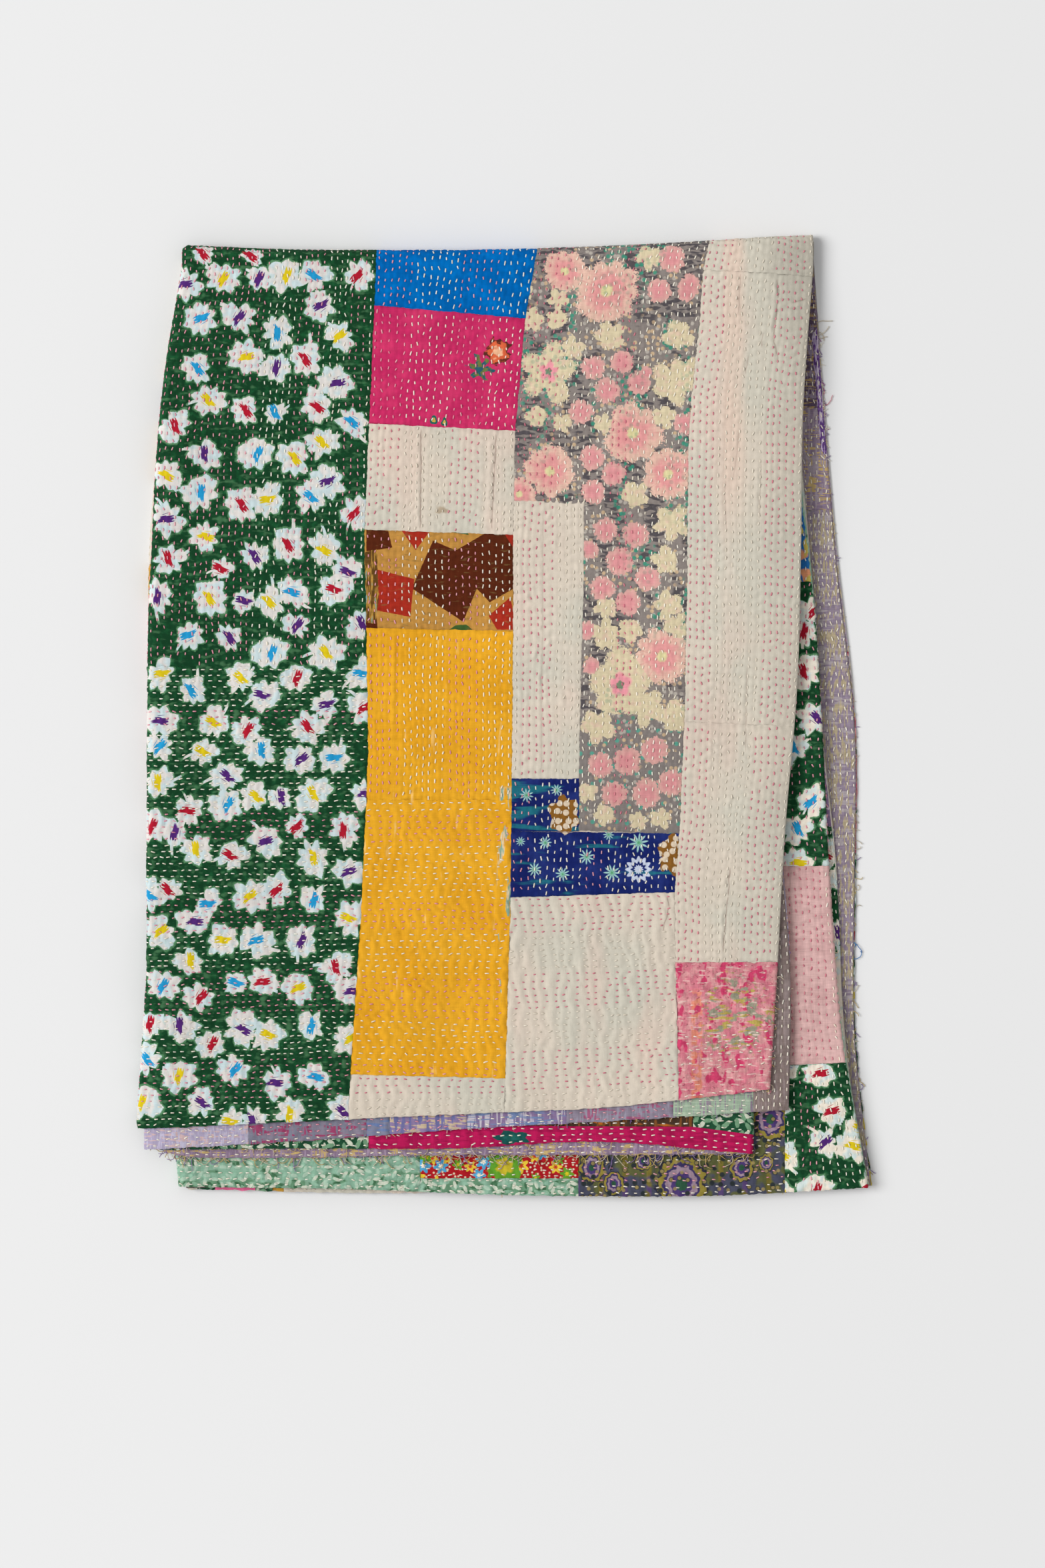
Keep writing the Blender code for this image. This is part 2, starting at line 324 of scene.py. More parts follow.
# Seams of the top quarter that run down, by pixels of the photograph
GREEN_RIGHT = seam(
    (568, 300), (565, 376), (562, 459), (553, 659), (547, 800), (550, 941), (553, 1129), (543, 1352),
    (526, 1611), (521, 1720),
)
MIDDLE_SEAM = seam(
    (812, 300), (806, 374), (788, 479), (773, 647), (770, 803), (770, 947), (768, 1170), (766, 1350),
    (758, 1617), (755, 1720),
)
CREAM_RIGHT = seam((876, 700), (876, 860), (870, 1090), (868, 1260))
FLORAL_RIGHT = seam(
    (1072, 300), (1064, 363), (1054, 406), (1049, 486), (1038, 584), (1033, 657), (1031, 763),
    (1031, 860), (1027, 1074), (1022, 1185), (1019, 1250), (1012, 1338), (1013, 1443), (1018, 1646),
    (1018, 1720),
)


def straight(pixel_x):
    x = plan((pixel_x, 0))[0]
    return lambda y: x + 0 * y


def flat_side(curve):
    return lambda skin, y: curve(y)


Field = namedtuple("Field", "piece skin print rows left right top bottom pink joined coarse")
Field.__new__.__defaults__ = (0.35, "", 1)
FRONT = Skin(TOP)
LAST = Skin(("last", "front"))
THIRD = Skin(("third", "front"))
SECOND = Skin(("second", "front"))
BACK_SECOND = Skin(("second", "back"))
BACK_LAST = Skin(("last", "back"))
BACK_FIRST = Skin(SURFACE)
UNDER = Skin(SURFACE, under=True)

LEFT = outer("left")
RIGHT = outer("right")
GREEN = flat_side(GREEN_RIGHT)
MIDDLE = flat_side(MIDDLE_SEAM)
CREAM = flat_side(CREAM_RIGHT)
FLORAL = flat_side(FLORAL_RIGHT)


def at(pixel_x):
    return flat_side(straight(pixel_x))


THIRD_SEAM = sloped((553, 1684), (832, 1689), (1040, 1690), (1131, 1702))
STRIP_WIDTH = 0.0055
STRIP_TOP, STRIP_BOTTOM = plan((0, 485))[1], plan((0, 690))[1]


def beside_strip(skin, y):
    """The right side, further in where a strip of purple cloth shows beside it."""
    ends = smooth((STRIP_TOP - y) / 0.01) * smooth((y - STRIP_BOTTOM) / 0.01)
    return RIGHT(skin, y) - STRIP_WIDTH * ends


# Where a column's or a block's rows are pink, as shares across its rows
MIDDLE_PINK = ((0.0, 0.25), (0.55, 0.78))
FLORAL_PINK = ((0.0, 0.22), (0.52, 0.66))
CREAM_PINK = ((0.10, 0.60),)
TEAL_PINK = ((0.30, 0.52),)
PANEL_PINK = ((0.0, 0.25), (0.64, 0.93))
YELLOW_NEAR_PINK = ((0.05, 0.15), (0.36, 0.48), (0.63, 0.80), (0.95, 1.0))
CREAM_NEAR_PINK = ((0.0, 0.17), (0.34, 0.54), (0.72, 0.90))
DAISY_NEAR_PINK = ((0.19, 0.27), (0.41, 0.50), (0.60, 0.72), (0.83, 0.93))

# Each group: its piece and its quarter, then a row for each field with its print, how its stitches run, its
# left, right, top and bottom (a number is a pixel), its pink rows and the side that goes on without a seam
GROUPS = (
    # The top quarter
    ("daisy_patch", FRONT, (
        ("daisy", "down", LEFT, GREEN, far_fold, 1000, 0.35, "bottom"),
        ("daisy", "across", LEFT, GREEN, 1000, 1108, 0.35, "top"),
        ("daisy", "across", LEFT, GREEN, 1108, hem_level, DAISY_NEAR_PINK),
    )),
    ("middle_patches", FRONT, (
        ("blue", "down", GREEN, MIDDLE, far_fold, (459, 479), MIDDLE_PINK),
        ("magenta", "down", GREEN, MIDDLE, (459, 479), (636, 647), MIDDLE_PINK),
        ("cream", "down", GREEN, MIDDLE, (636, 647), (795, 803), MIDDLE_PINK),
        ("angular", "down", GREEN, MIDDLE, (795, 803), (942, 947), MIDDLE_PINK),
        ("yellow", "down", GREEN, MIDDLE, (942, 947), 1200, MIDDLE_PINK, "bottom"),
        ("yellow", "across", GREEN, MIDDLE, 1200, (1611, 1617), YELLOW_NEAR_PINK, "top"),
        ("cream", "across", GREEN, MIDDLE, (1611, 1617), hem_level, ((0.0, 0.45),)),
    )),
    ("right_patches", FRONT, (
        ("floral", "down", MIDDLE, FLORAL, far_fold, (752, 763), FLORAL_PINK),
        ("cream", "down", MIDDLE, CREAM, 752, 1168, CREAM_PINK),
        ("floral_teal", "down", CREAM, FLORAL, (757, 763), (1246, 1250), TEAL_PINK),
        ("navy", "down", MIDDLE, CREAM, 1168, 1247, ((0.0, 0.3),), "bottom"),
        ("navy", "down", MIDDLE, FLORAL, (1247, 1250), (1346, 1338), ((0.0, 0.12), (0.42, 0.58)), "top"),
        ("cream", "across", MIDDLE, FLORAL, (1346, 1338), hem_level, CREAM_NEAR_PINK),
    )),
    ("panel_patches", FRONT, (
        ("cream", "down", FLORAL, RIGHT, far_fold, (406, 414), PANEL_PINK),
        ("cream", "down", FLORAL, RIGHT, (406, 414), (1082, 1090), PANEL_PINK),
        ("cream", "down", FLORAL, RIGHT, (1082, 1090), 1443, PANEL_PINK),
        ("worn_pink", "across", FLORAL, RIGHT, 1443, hem_level, 0.5),
    )),
    # The last quarter's hem and free side
    ("edge_patches", LAST, (
        ("lavender", "across", LEFT, 373, 1660, hem_level, 0.4),
        ("grey_magenta", "across", 373, 550, 1655, hem_level, 0.3),
        ("grey_blue", "across", 550, 585, 1645, hem_level, 0.3),
        ("purple_gold", "across", 585, 700, 1640, hem_level, 0.3),
        ("mauve_stripe", "across", 700, 850, 1630, hem_level, 0.2),
        ("grey_mauve", "across", 850, 1010, 1625, hem_level, 0.3),
        ("mint_stripe", "across", 1010, 1130, 1610, hem_level, 0.2),
        ("taupe", "down", 1130, RIGHT, 1200, hem_level, 0.0),
    )),
    # The third quarter's hem
    ("edge_patches", THIRD, (
        ("leaf", "across", 225, 553, 1690, hem_level, 0.1),
        ("orange", "across", 553, 1040, 1640, THIRD_SEAM, 0.1),
        ("leaf", "across", 1040, RIGHT, 1640, THIRD_SEAM, 0.1),
        ("magenta_band", "across", 553, RIGHT, THIRD_SEAM, hem_level, 0.1),
    )),
    # The second quarter's hem
    ("edge_patches", SECOND, (
        ("purple_fray", "across", 232, 1128, 1700, hem_level, 0.1),
    )),
    # The back half's second quarter
    ("edge_patches", BACK_SECOND, (
        ("mint_leaf", "across", LEFT, 630, 1690, hem_level, 0.1),
        ("red_floral", "across", 630, 868, 1690, 1768, 0.1),
        ("mint_leaf", "across", 630, 868, 1768, hem_level, 0.1),
        ("paisley", "across", 868, 1178, 1640, hem_level, 0.1),
        ("blue_peach", "down", 1160, RIGHT, 700, 872, 0.2),
        ("daisy_yellowed", "down", 1150, RIGHT, 872, 1299, 0.3),
        ("pale_pink", "down", 1150, RIGHT, 1299, (1599, 1594), 0.8),
        ("daisy_yellowed", "down", 1178, RIGHT, (1599, 1594), hem_level, 0.3),
        ("dark_purple", "down", LEFT, 250, 390, 495),
        ("pale_pink", "down", LEFT, 240, 900, 1290),
        ("lavender", "down", LEFT, 250, 1290, 1690),
        ("mustard", "down", LEFT, 246, 495, 570, 0.0),
        ("dark_purple", "down", LEFT, 240, 570, 632, 0.0),
        ("mustard", "down", LEFT, 236, 632, 722, 0.0),
        ("cream", "down", LEFT, 232, 722, 845, 0.0),
        ("mustard", "down", LEFT, 232, 845, 900, 0.0),
    )),
    # The back half's last quarter
    ("edge_patches", BACK_LAST, (
        ("pink_mauve", "down", 1186, RIGHT, 775, 1050, 0.5),
        ("lilac_dots", "down", 1186, RIGHT, 1050, 1240, 0.5),
        ("daisy_yellowed", "down", 1200, RIGHT, 1240, 1440, 0.2),
        ("cream", "across", 278, 295, 1755, hem_level, 0.2),
        ("leaf", "across", 295, 322, 1755, hem_level, 0.2),
        ("bright_pink", "across", 322, 382, 1755, hem_level, 0.2),
        ("leaf", "across", 382, 408, 1755, hem_level, 0.2),
        ("mustard", "across", 408, 425, 1755, hem_level, 0.2),
        ("cream", "across", 425, 640, 1755, hem_level, 0.2),
    )),
    # The back half's first quarter
    ("edge_patches", BACK_FIRST, (
        ("brocade", "down", 1140, beside_strip, 372, 610, 0.2),
        ("purple", "down", beside_strip, RIGHT, 487, 688, 0.0),
        ("gold_mauve", "down", 1180, beside_strip, 610, 764, 0.2),
        ("mauve_gold", "down", 1190, RIGHT, 764, hem_level, 0.3),
    )),
)


def side_of(value):
    return at(value) if isinstance(value, int) else value


def level_of(value):
    if isinstance(value, tuple):
        return level(*value)
    return level(value) if isinstance(value, int) else value


FIELDS = [
    Field(piece, skin, name, rows, side_of(left), side_of(right), level_of(top), level_of(bottom), *rest)
    for piece, skin, entries in GROUPS
    for name, rows, left, right, top, bottom, *rest in entries
]

# The underside goes on with the top's prints, and is then patched plainly
def under_far(skin, s, x):
    return fold_start(x)


UNDER_COLUMNS = (
    ("daisy", LEFT, GREEN, "daisy", "cream"),
    ("blue", GREEN, MIDDLE, "angular", "yellow"),
    ("floral", MIDDLE, FLORAL, "cream", "mint_leaf"),
    ("cream", FLORAL, RIGHT, "worn_pink", "daisy"),
)
for number, (far_print, column_left, column_right, middle_print, near_print) in enumerate(UNDER_COLUMNS):
    breaks = (None, 820 + 60 * (number % 2), 1280 - 70 * (number % 3), None)
    for step, (print_name, top_row, bottom_row) in enumerate(
        zip((far_print, middle_print, near_print), breaks, breaks[1:])
    ):
        FIELDS.append(
            Field(
                "under_patches", UNDER, print_name,
                "across" if (number + step) % 2 else "down", column_left, column_right,
                under_far if top_row is None else level(top_row),
                hem_level if bottom_row is None else level(bottom_row),
                0.6, "", 2,
            )
        )


# Printed flowers of the top quarter: pixel column and row, then the centre's colour
# (purple, cyan, yellow or red; a capital for a full-sized flower)
DAISIES = """
306,380,r 380,384,r 280,427,P 336,420,Y 391,420,p 428,415,Y 471,415,C 479,459,P 539,415,R 302,478,C 360,478,P
416,500,C 510,505,Y 295,553,C 370,536,Y 413,553,P 459,539,R 503,575,P 316,602,Y 367,616,R 413,620,c 474,611,R
530,633,C 261,641,R 309,682,P 384,682,C 440,687,Y 486,665,Y 251,713,Y 299,740,C 491,723,P 469,747,C 362,757,R
401,750,Y 251,779,P 307,805,Y 534,771,R 382,834,P 433,817,R 488,825,Y 520,859,P 256,839,R 333,854,r 239,895,P
316,897,Y 365,902,p 406,902,Y 440,888,C 445,939,P 500,885,R 287,953,C 343,956,P 406,980,C 491,980,Y 540,936,P
241,1011,Y 290,1035,C 362,1018,Y 396,1043,P 445,1018,R 488,1057,P 544,1011,C 547,1062,R 239,1081,P
321,1084,Y 464,1091,R 370,1096,R 240,1120,C 306,1128,Y 391,1126,C 450,1139,P 502,1137,C 240,1174,Y 342,1165,P
382,1196,Y 420,1196,p 339,1207,C 283,1215,R 469,1191,Y 545,1191,P 228,1240,R 264,1248,P 297,1274,Y 446,1240,r
519,1245,R 349,1283,R 398,1262,P 469,1285,Y 523,1307,P 254,1335,R 313,1356,C 290,1382,P 377,1344,Y 415,1335,R
471,1349,C 238,1396,Y 335,1410,Y 386,1410,C 455,1410,P 526,1377,Y 222,1344,C 283,1441,Y 247,1479,C 299,1495,R
353,1474,c 396,1472,R 446,1481,Y 507,1451,R 526,1486,P 224,1536,R 271,1538,P 316,1566,R 363,1543,P 401,1552,Y
467,1538,C 526,1557,Y 268,1614,Y 219,1590,C 351,1604,C 415,1623,P 471,1614,C 302,1654,P 214,1654,Y 438,1670,Y
349,1682,Y 382,1680,P 516,1668,P
"""
# Faded blossoms: pixel column, row and radius, then the kind (big pink, small pink, cream, eyed)
BLOSSOMS = """
847,408,34,b 910,437,50,b 825,708,40,b 949,650,46,b 1002,713,40,b 993,985,44,b 1040,700,26,b 779,742,26,b
1007,388,22,s 988,437,19,s 1034,430,18,s 890,553,19,s 933,544,18,s 910,587,20,s 959,575,19,s 871,619,20,s
888,687,20,s 920,711,19,s 890,738,19,s 1027,636,18,s 1030,440,14,s 970,560,10,s
973,386,20,c 799,480,20,c 835,480,16,c 915,505,24,c 1017,505,24,c 859,524,19,c 823,558,46,e 1010,573,40,c
804,626,17,c 845,636,16,c 905,636,18,c 995,626,19,c 954,742,22,c 1030,560,24,c 838,450,18,c 786,440,14,c
908,796,19,s 954,803,21,s 884,825,15,s 930,842,22,s 971,868,20,s 903,883,20,s 942,905,20,s 881,946,15,s
981,1125,22,s 941,1141,22,s 901,1148,20,s 922,1191,21,s 969,1191,23,s 1007,1174,21,s 888,1000,14,s
1007,786,28,c 998,842,22,c 1002,907,24,c 908,912,18,c 908,951,26,c 944,946,20,c 930,1028,54,e 896,1089,27,c
906,1222,17,c 958,1231,15,c 880,1189,17,c 991,1226,17,c 968,1060,30,c 1010,1075,26,c 1015,940,22,c
"""
MOTIF_RADII = {"daisy": (0.0108, 0.0145), "small": (0.0082, 0.0094)}


def placed_daisies():
    rng = np.random.default_rng(21)
    rows = []
    for entry in DAISIES.split():
        column, row, colour = entry.split(",")
        radius = rng.uniform(*MOTIF_RADII["daisy" if colour.isupper() else "small"])
        x, y = plan((int(column), int(row)))
        rows.append((x, y, radius, rng.uniform(0, 2 * math.pi), "pcyr".index(colour.lower()), rng.uniform()))
    return np.array(rows)


def placed_blossoms():
    rng = np.random.default_rng(22)
    rows = []
    for entry in BLOSSOMS.split():
        column, row, radius, kind = entry.split(",")
        x, y = plan((int(column), int(row)))
        radius = int(radius) * METRES_PER_PIXEL
        rows.append((x, y, radius, rng.uniform(0, 2 * math.pi), "bsce".index(kind), rng.uniform()))
    return np.array(rows)


def scattered(x, y, seed, pitch=0.0315):
    """Motifs spread unevenly over the box of some plan positions."""
    rng = np.random.default_rng(seed)
    centre_x, centre_y = np.meshgrid(
        np.arange(x.min() - pitch, x.max() + 2 * pitch, pitch),
        np.arange(y.min() - pitch, y.max() + 2 * pitch, pitch),
    )
    count = centre_x.size
    return np.stack(
        [
            centre_x.ravel() + rng.uniform(-0.32, 0.32, count) * pitch,
            centre_y.ravel() + rng.uniform(-0.32, 0.32, count) * pitch,
            rng.uniform(*MOTIF_RADII["daisy"], count),
            rng.uniform(0, 2 * math.pi, count),
            rng.integers(0, 4, count),
            rng.uniform(0, 1, count),
        ],
        axis=-1,
    )


def nearest_motifs(motifs, x, y):
    """The motif that each place belongs to: the one least far away for its size."""
    distance = np.hypot(x[:, None] - motifs[:, 0], y[:, None] - motifs[:, 1])
    chosen = motifs[np.argmin(distance / motifs[:, 2], axis=1)]
    return chosen[:, :3], chosen[:, 3:]


# Creases of the top quarter: the pixels of their ends, and their depth in metres
Crease = namedtuple("Crease", "x0 y0 x1 y1 depth")
CREASES = tuple(Crease(*values) for values in (
    (632, 642, 631, 795, 0.0006), (744, 650, 738, 796, 0.0006), (597, 945, 595, 1090, 0.0005),
    (560, 950, 558, 1050, 0.0004), (815, 770, 812, 1160, 0.0002), (1111, 410, 1107, 475, 0.0004),
    (1166, 418, 1167, 450, 0.0006), (1167, 450, 1160, 508, 0.0006), (1160, 506, 1167, 545, 0.0005),
    (1145, 498, 1141, 524, 0.0004), (1122, 532, 1118, 564, 0.0004), (1186, 455, 1212, 448, 0.0004),
    (1110, 640, 1100, 720, 0.0003), (1142, 690, 1138, 780, 0.0003), (1087, 720, 1089, 800, 0.0003),
    (1062, 800, 1055, 960, 0.0002), (1120, 1000, 1118, 1130, 0.0003), (1095, 1300, 1092, 1345, 0.0006),
    (1092, 1343, 1084, 1428, 0.0006), (1001, 1342, 1003, 1362, 0.0007), (1003, 1360, 994, 1398, 0.0006),
    (330, 600, 470, 640, 0.0003),
))
# Boxes of pixels with short creases strewn over them, and how many
CREASED_BOXES = (
    (775, 1365, 1000, 1670, 34), (560, 1225, 750, 1600, 18), (545, 1625, 745, 1685, 6),
    (230, 1120, 520, 1650, 16), (1035, 1100, 1160, 1430, 8), (780, 775, 865, 1150, 6),
)


def strewn_creases():
    rng = np.random.default_rng(27)
    made = []
    for left, top, right, bottom, count in CREASED_BOXES:
        for _ in range(count):
            x, y = rng.uniform(left, right), rng.uniform(top, bottom)
            lean, long = rng.normal(0, 0.22), rng.uniform(10, 34)
            made.append(Crease(x, y, x + lean * long, y + long, rng.uniform(0.0003, 0.0006)))
    return tuple(made)


STREWN = strewn_creases()
CREASE_WIDTH = 0.0012
REACH = 8 * CREASE_WIDTH  # how far beside a crease the cloth is looked at
CREASE_WOBBLE = 0.0010
CREASE_END = 0.001  # and how far past its ends
LEVEL_ROWS = 20  # a crease over fewer pixel rows than this counts as level


def creased(x, y):
    """How far the creases lower the cloth, with a soft ridge beside each."""
    total = np.zeros_like(x)
    for crease in CREASES + STREWN:
        x0, y0 = plan((crease.x0, crease.y0))
        x1, y1 = plan((crease.x1, crease.y1))
        length = math.hypot(x1 - x0, y1 - y0)
        off_x, off_y = x - (x0 + x1) / 2, y - (y0 + y1) / 2
        if crease.y1 < crease.y0 + LEVEL_ROWS:
            near = np.hypot(off_x, off_y) < length / 2 + REACH
        else:
            near = (np.abs(off_x) < abs(x1 - x0) / 2 + REACH) & (y < y0 + CREASE_END) & (y > y1 - CREASE_END)
        run_x, run_y = (x1 - x0) / length, (y1 - y0) / length
        run = (x[near] - x0) * run_x + (y[near] - y0) * run_y
        off = (x[near] - x0) * run_y - (y[near] - y0) * run_x
        off = off + CREASE_WOBBLE * noise(run, 0.0, 0.012, int(crease.x0))
        end = min(0.01, length / 3)
        ends = smooth(run / end) * smooth((length - run) / end)
        trough = np.exp(-((off / CREASE_WIDTH) ** 2))
        ridge = np.exp(-(((off - 2.2 * CREASE_WIDTH) / (1.6 * CREASE_WIDTH)) ** 2))
        total[near] += crease.depth * ends * (0.9 * ridge - trough)
    return total


class Patch:
    """One field's cloth: maps its shares across and down to points with puckers."""

    def __init__(self, field, number):
        self.field = field
        self.seed = 100 + number
        y = self.edge_y(0.5)
        self.length = float(y[0] - y[1])
        middle = (y[0] + y[1]) / 2
        self.width = float(field.right(field.skin, middle) - field.left(field.skin, middle))
        down = field.rows == "down"
        side = self.width if down else self.length
        self.pitch = DOWN_PITCH if down else PRINT_PITCH.get(field.print, ACROSS_PITCH)
        if field.skin.under:
            self.pitch = Pitch(*(distance * UNDER_COARSER for distance in self.pitch))
        self.ripple = RIPPLE * (1.0 if down else 1.3)
        self.row_length = self.length if down else self.width
        self.rows = max(1, round(side / self.pitch.row))
        self.drift = np.cumsum(np.random.default_rng(self.seed).normal(0, 0.11, self.rows + 2))

    def edge_y(self, s):
        field = self.field
        x = 0.0
        for _ in range(3):
            top = field.top(field.skin, s, x)
            bottom = field.bottom(field.skin, s, x)
            middle = (top + bottom) / 2
            left = field.left(field.skin, middle)
            x = left + (field.right(field.skin, middle) - left) * s
        return top, bottom

    def position(self, s, t):
        """Plan position at shares across and down."""
        field = self.field
        top, bottom = self.ends(s)
        y = top + (bottom - top) * t
        left = field.left(field.skin, y)
        right = field.right(field.skin, y)
        return left + (right - left) * s, y

    def ends(self, s):
        """Y of the field's top and bottom at a share across."""
        field = self.field
        result = []
        for edge in (field.top, field.bottom):
            x = 0 * s
            for _ in range(4):
                y = edge(field.skin, s, x)
                left = field.left(field.skin, y)
                x = left + (field.right(field.skin, y) - left) * s
            result.append(edge(field.skin, s, x))
        return result

    def row_share(self, r, q):
        """Share across the rows of row coordinate r at a length q along, with the hand's wobble."""
        wobble = 0.16 * noise(r * 0.6, q / 0.03, 3.0, self.seed + 7)
        fade = np.minimum(1, np.minimum(r, self.rows - r))
        return (r + wobble * fade) / self.rows

    def phase(self, r, q):
        """Stitches counted along the rows: a whole number is the middle of a stitch."""
        drift = np.interp(r, np.arange(len(self.drift)), self.drift)
        meander = 0.16 * noise(r * 0.4, q / 0.05, 3.0, self.seed + 11)
        uneven = 0.30 * noise(r * 1.1, q / 0.010, 3.0, self.seed + 13)
        return q / self.pitch.stitch + drift + meander + uneven

    def shares(self, r, q):
        """Shares across and down of a place given by row coordinate and length along the row."""
        side = self.row_share(r, q)
        run = q / self.row_length
        return (side, run) if self.field.rows == "down" else (run, side)

    def lift(self, r, q, s, t):
        """Puckers, with soft waves and sunken edges."""
        to_line = np.abs(np.cos(math.pi * r))  # 0 on a row of stitches, 1 between two rows
        ripple = np.abs(np.sin(math.pi * self.phase(r, q))) ** 0.85
        side = r * self.pitch.row
        strength = 0.80 + 0.22 * noise(side, q, 0.05, self.seed + 3)
        strength = strength + 0.30 * noise(side, q, 0.013, self.seed + 4)
        lift = strength * (RIDGE * (to_line**0.8 - 0.5) + self.ripple * (ripple - 0.5))
        lift = lift + CRUMPLE * noise(side, q, 0.005, self.seed + 5)
        if self.field.skin is FRONT:
            lift = lift + creased(*self.position(s, t))
        if self.field.print == "worn_pink":
            for lump, size, seed in WORN_LUMPS:
                lift = lift + lump * noise(s * self.width, t * self.length, size, seed)
        return np.maximum(lift, DEEPEST) - self.sink(s, t)

    def sink(self, s, t):
        """How far the cloth sinks towards its sewn sides."""
        total = 0 * s
        ends = (
            ("left", s * self.width),
            ("right", (1 - s) * self.width),
            ("top", t * self.length),
            ("bottom", (1 - t) * self.length),
        )
        for name, distance in ends:
            if name not in self.field.joined:
                depth = SEAM_DEPTH if self.seam_inside(name) else HEM_DEPTH
                total = np.maximum(total, depth * (1 - smooth(distance / SEAM_ROLL)) ** 2)
        return total

    def seam_inside(self, name):
        return getattr(self.field, name) not in (LEFT, RIGHT, hem_level)

    def surface(self, r, q, above=0.0):
        s, t = self.shares(r, q)
        x, y = self.position(s, t)
        lift = self.lift(r, q, s, t)
        if self.field.skin.under:
            lift = np.minimum(lift - UNDER_INSET, 0)
        return self.field.skin.place(x, y, lift + above), x, y, lift


CRUMPLE = 0.00012
WORN_LUMPS = ((0.0006, 0.009, 77), (0.0004, 0.0045, 78))  # height, size and seed
DEEPEST = -0.00072  # a patch stays above the inner cloth
UNDER_INSET = 0.0004  # how far the underside's patches stay off the surface
SEAM_DEPTH = 0.00035
HEM_DEPTH = 0.0006
SEAM_ROLL = 0.0022
EDGE_LINE = 0.0006  # the mesh's first line in from a patch's side


def with_edges(values, close):
    return np.unique(np.concatenate([values, [values[0] + close, values[-1] - close]]))


def grid_mesh(patch):
    """Points, faces and print coordinates of one patch."""
    coarse = patch.field.coarse
    per_row = (4 if patch.field.rows == "down" else 3) / coarse
    r = with_edges(
        np.linspace(0, patch.rows, max(2, int(round(patch.rows * per_row))) + 1), EDGE_LINE / patch.pitch.row
    )
    count = max(2, int(round(patch.row_length / (patch.pitch.stitch / 4 * coarse))))
    q = with_edges(np.linspace(0, patch.row_length, count + 1), EDGE_LINE)
    rr, qq = np.meshgrid(r, q, indexing="ij")
    points, x, y, lift = patch.surface(rr, qq)
    index = np.arange(rr.size).reshape(rr.shape)
    a, b, c, d = index[:-1, :-1], index[1:, :-1], index[1:, 1:], index[:-1, 1:]
    faces = np.stack([a, b, c, d], axis=-1).reshape(-1, 4)
    # Wind the faces so that they look out of the cloth
    first = points.reshape(-1, 3)[faces[len(faces) // 2]]
    normal = np.cross(first[1] - first[0], first[3] - first[0])
    if (normal[2] < 0) != patch.field.skin.under:
        faces = faces[:, ::-1]
    middle_x = x.ravel()[faces].mean(axis=1)
    middle_y = y.ravel()[faces].mean(axis=1)
    if patch.field.skin is FRONT:
        motifs = BLOSSOM_MOTIFS if "floral" in patch.field.print else DAISY_MOTIFS
    else:
        motifs = scattered(x, y, patch.seed)
    motif, look = nearest_motifs(motifs, middle_x, middle_y)
    extras = {"rise": lift.ravel() * 1000, "motif": motif, "look": look}
    return points.reshape(-1, 3), faces, np.stack([x, y], axis=-1).reshape(-1, 2), extras


def new_object(name, points, faces, uvs, slots, materials, extras=None):
    """A smooth mesh object with one UV map, centred as the solid is."""
    points = np.asarray(points, float) + np.array([*CENTRING, 0])
    mesh = bpy.data.meshes.new(name)
    mesh.vertices.add(len(points))
    mesh.vertices.foreach_set("co", points.astype(np.float32).ravel())
    faces = np.asarray(faces)
    sides = faces.shape[1]
    mesh.loops.add(faces.size)
    mesh.loops.foreach_set("vertex_index", faces.ravel().astype(np.int32))
    mesh.polygons.add(len(faces))
    mesh.polygons.foreach_set("loop_start", np.arange(0, faces.size, sides, dtype=np.int32))
    for material in materials:
        mesh.materials.append(material)
    mesh.polygons.foreach_set("material_index", np.asarray(slots, np.int32))
    mesh.update(calc_edges=True)
    layer = mesh.uv_layers.new(name="cloth")
    layer.data.foreach_set("uv", np.asarray(uvs, np.float32)[faces.ravel()].ravel())
    for extra, values in (extras or {}).items():
        if extra == "rise":
            mesh.attributes.new(extra, "FLOAT", "POINT").data.foreach_set("value", values.astype(np.float32))
        else:
            mesh.attributes.new(extra, "FLOAT_VECTOR", "FACE").data.foreach_set(
                "vector", values.astype(np.float32).ravel()
            )
    mesh.validate()
    mesh.shade_smooth()
    item = bpy.data.objects.new(name, mesh)
    bpy.context.scene.collection.objects.link(item)
    return item


class Bag:
    """Gathers meshes that become one piece."""

    def __init__(self):
        self.points, self.faces, self.uvs, self.slots = [], [], [], []
        self.materials = []
        self.extras = {}
        self.count = 0

    def add(self, points, faces, uvs, extras, material):
        for extra, values in extras.items():
            self.extras.setdefault(extra, []).append(values)
        if material not in self.materials:
            self.materials.append(material)
        self.points.append(points)
        self.faces.append(np.asarray(faces) + self.count)
        self.uvs.append(uvs)
        self.slots.append(np.full(len(faces), self.materials.index(material)))
        self.count += len(points)

    def make(self, name):
        return new_object(
            name,
            np.concatenate(self.points),
            np.concatenate(self.faces),
            np.concatenate(self.uvs),
            np.concatenate(self.slots),
            self.materials,
            {extra: np.concatenate(values) for extra, values in self.extras.items()},
        )


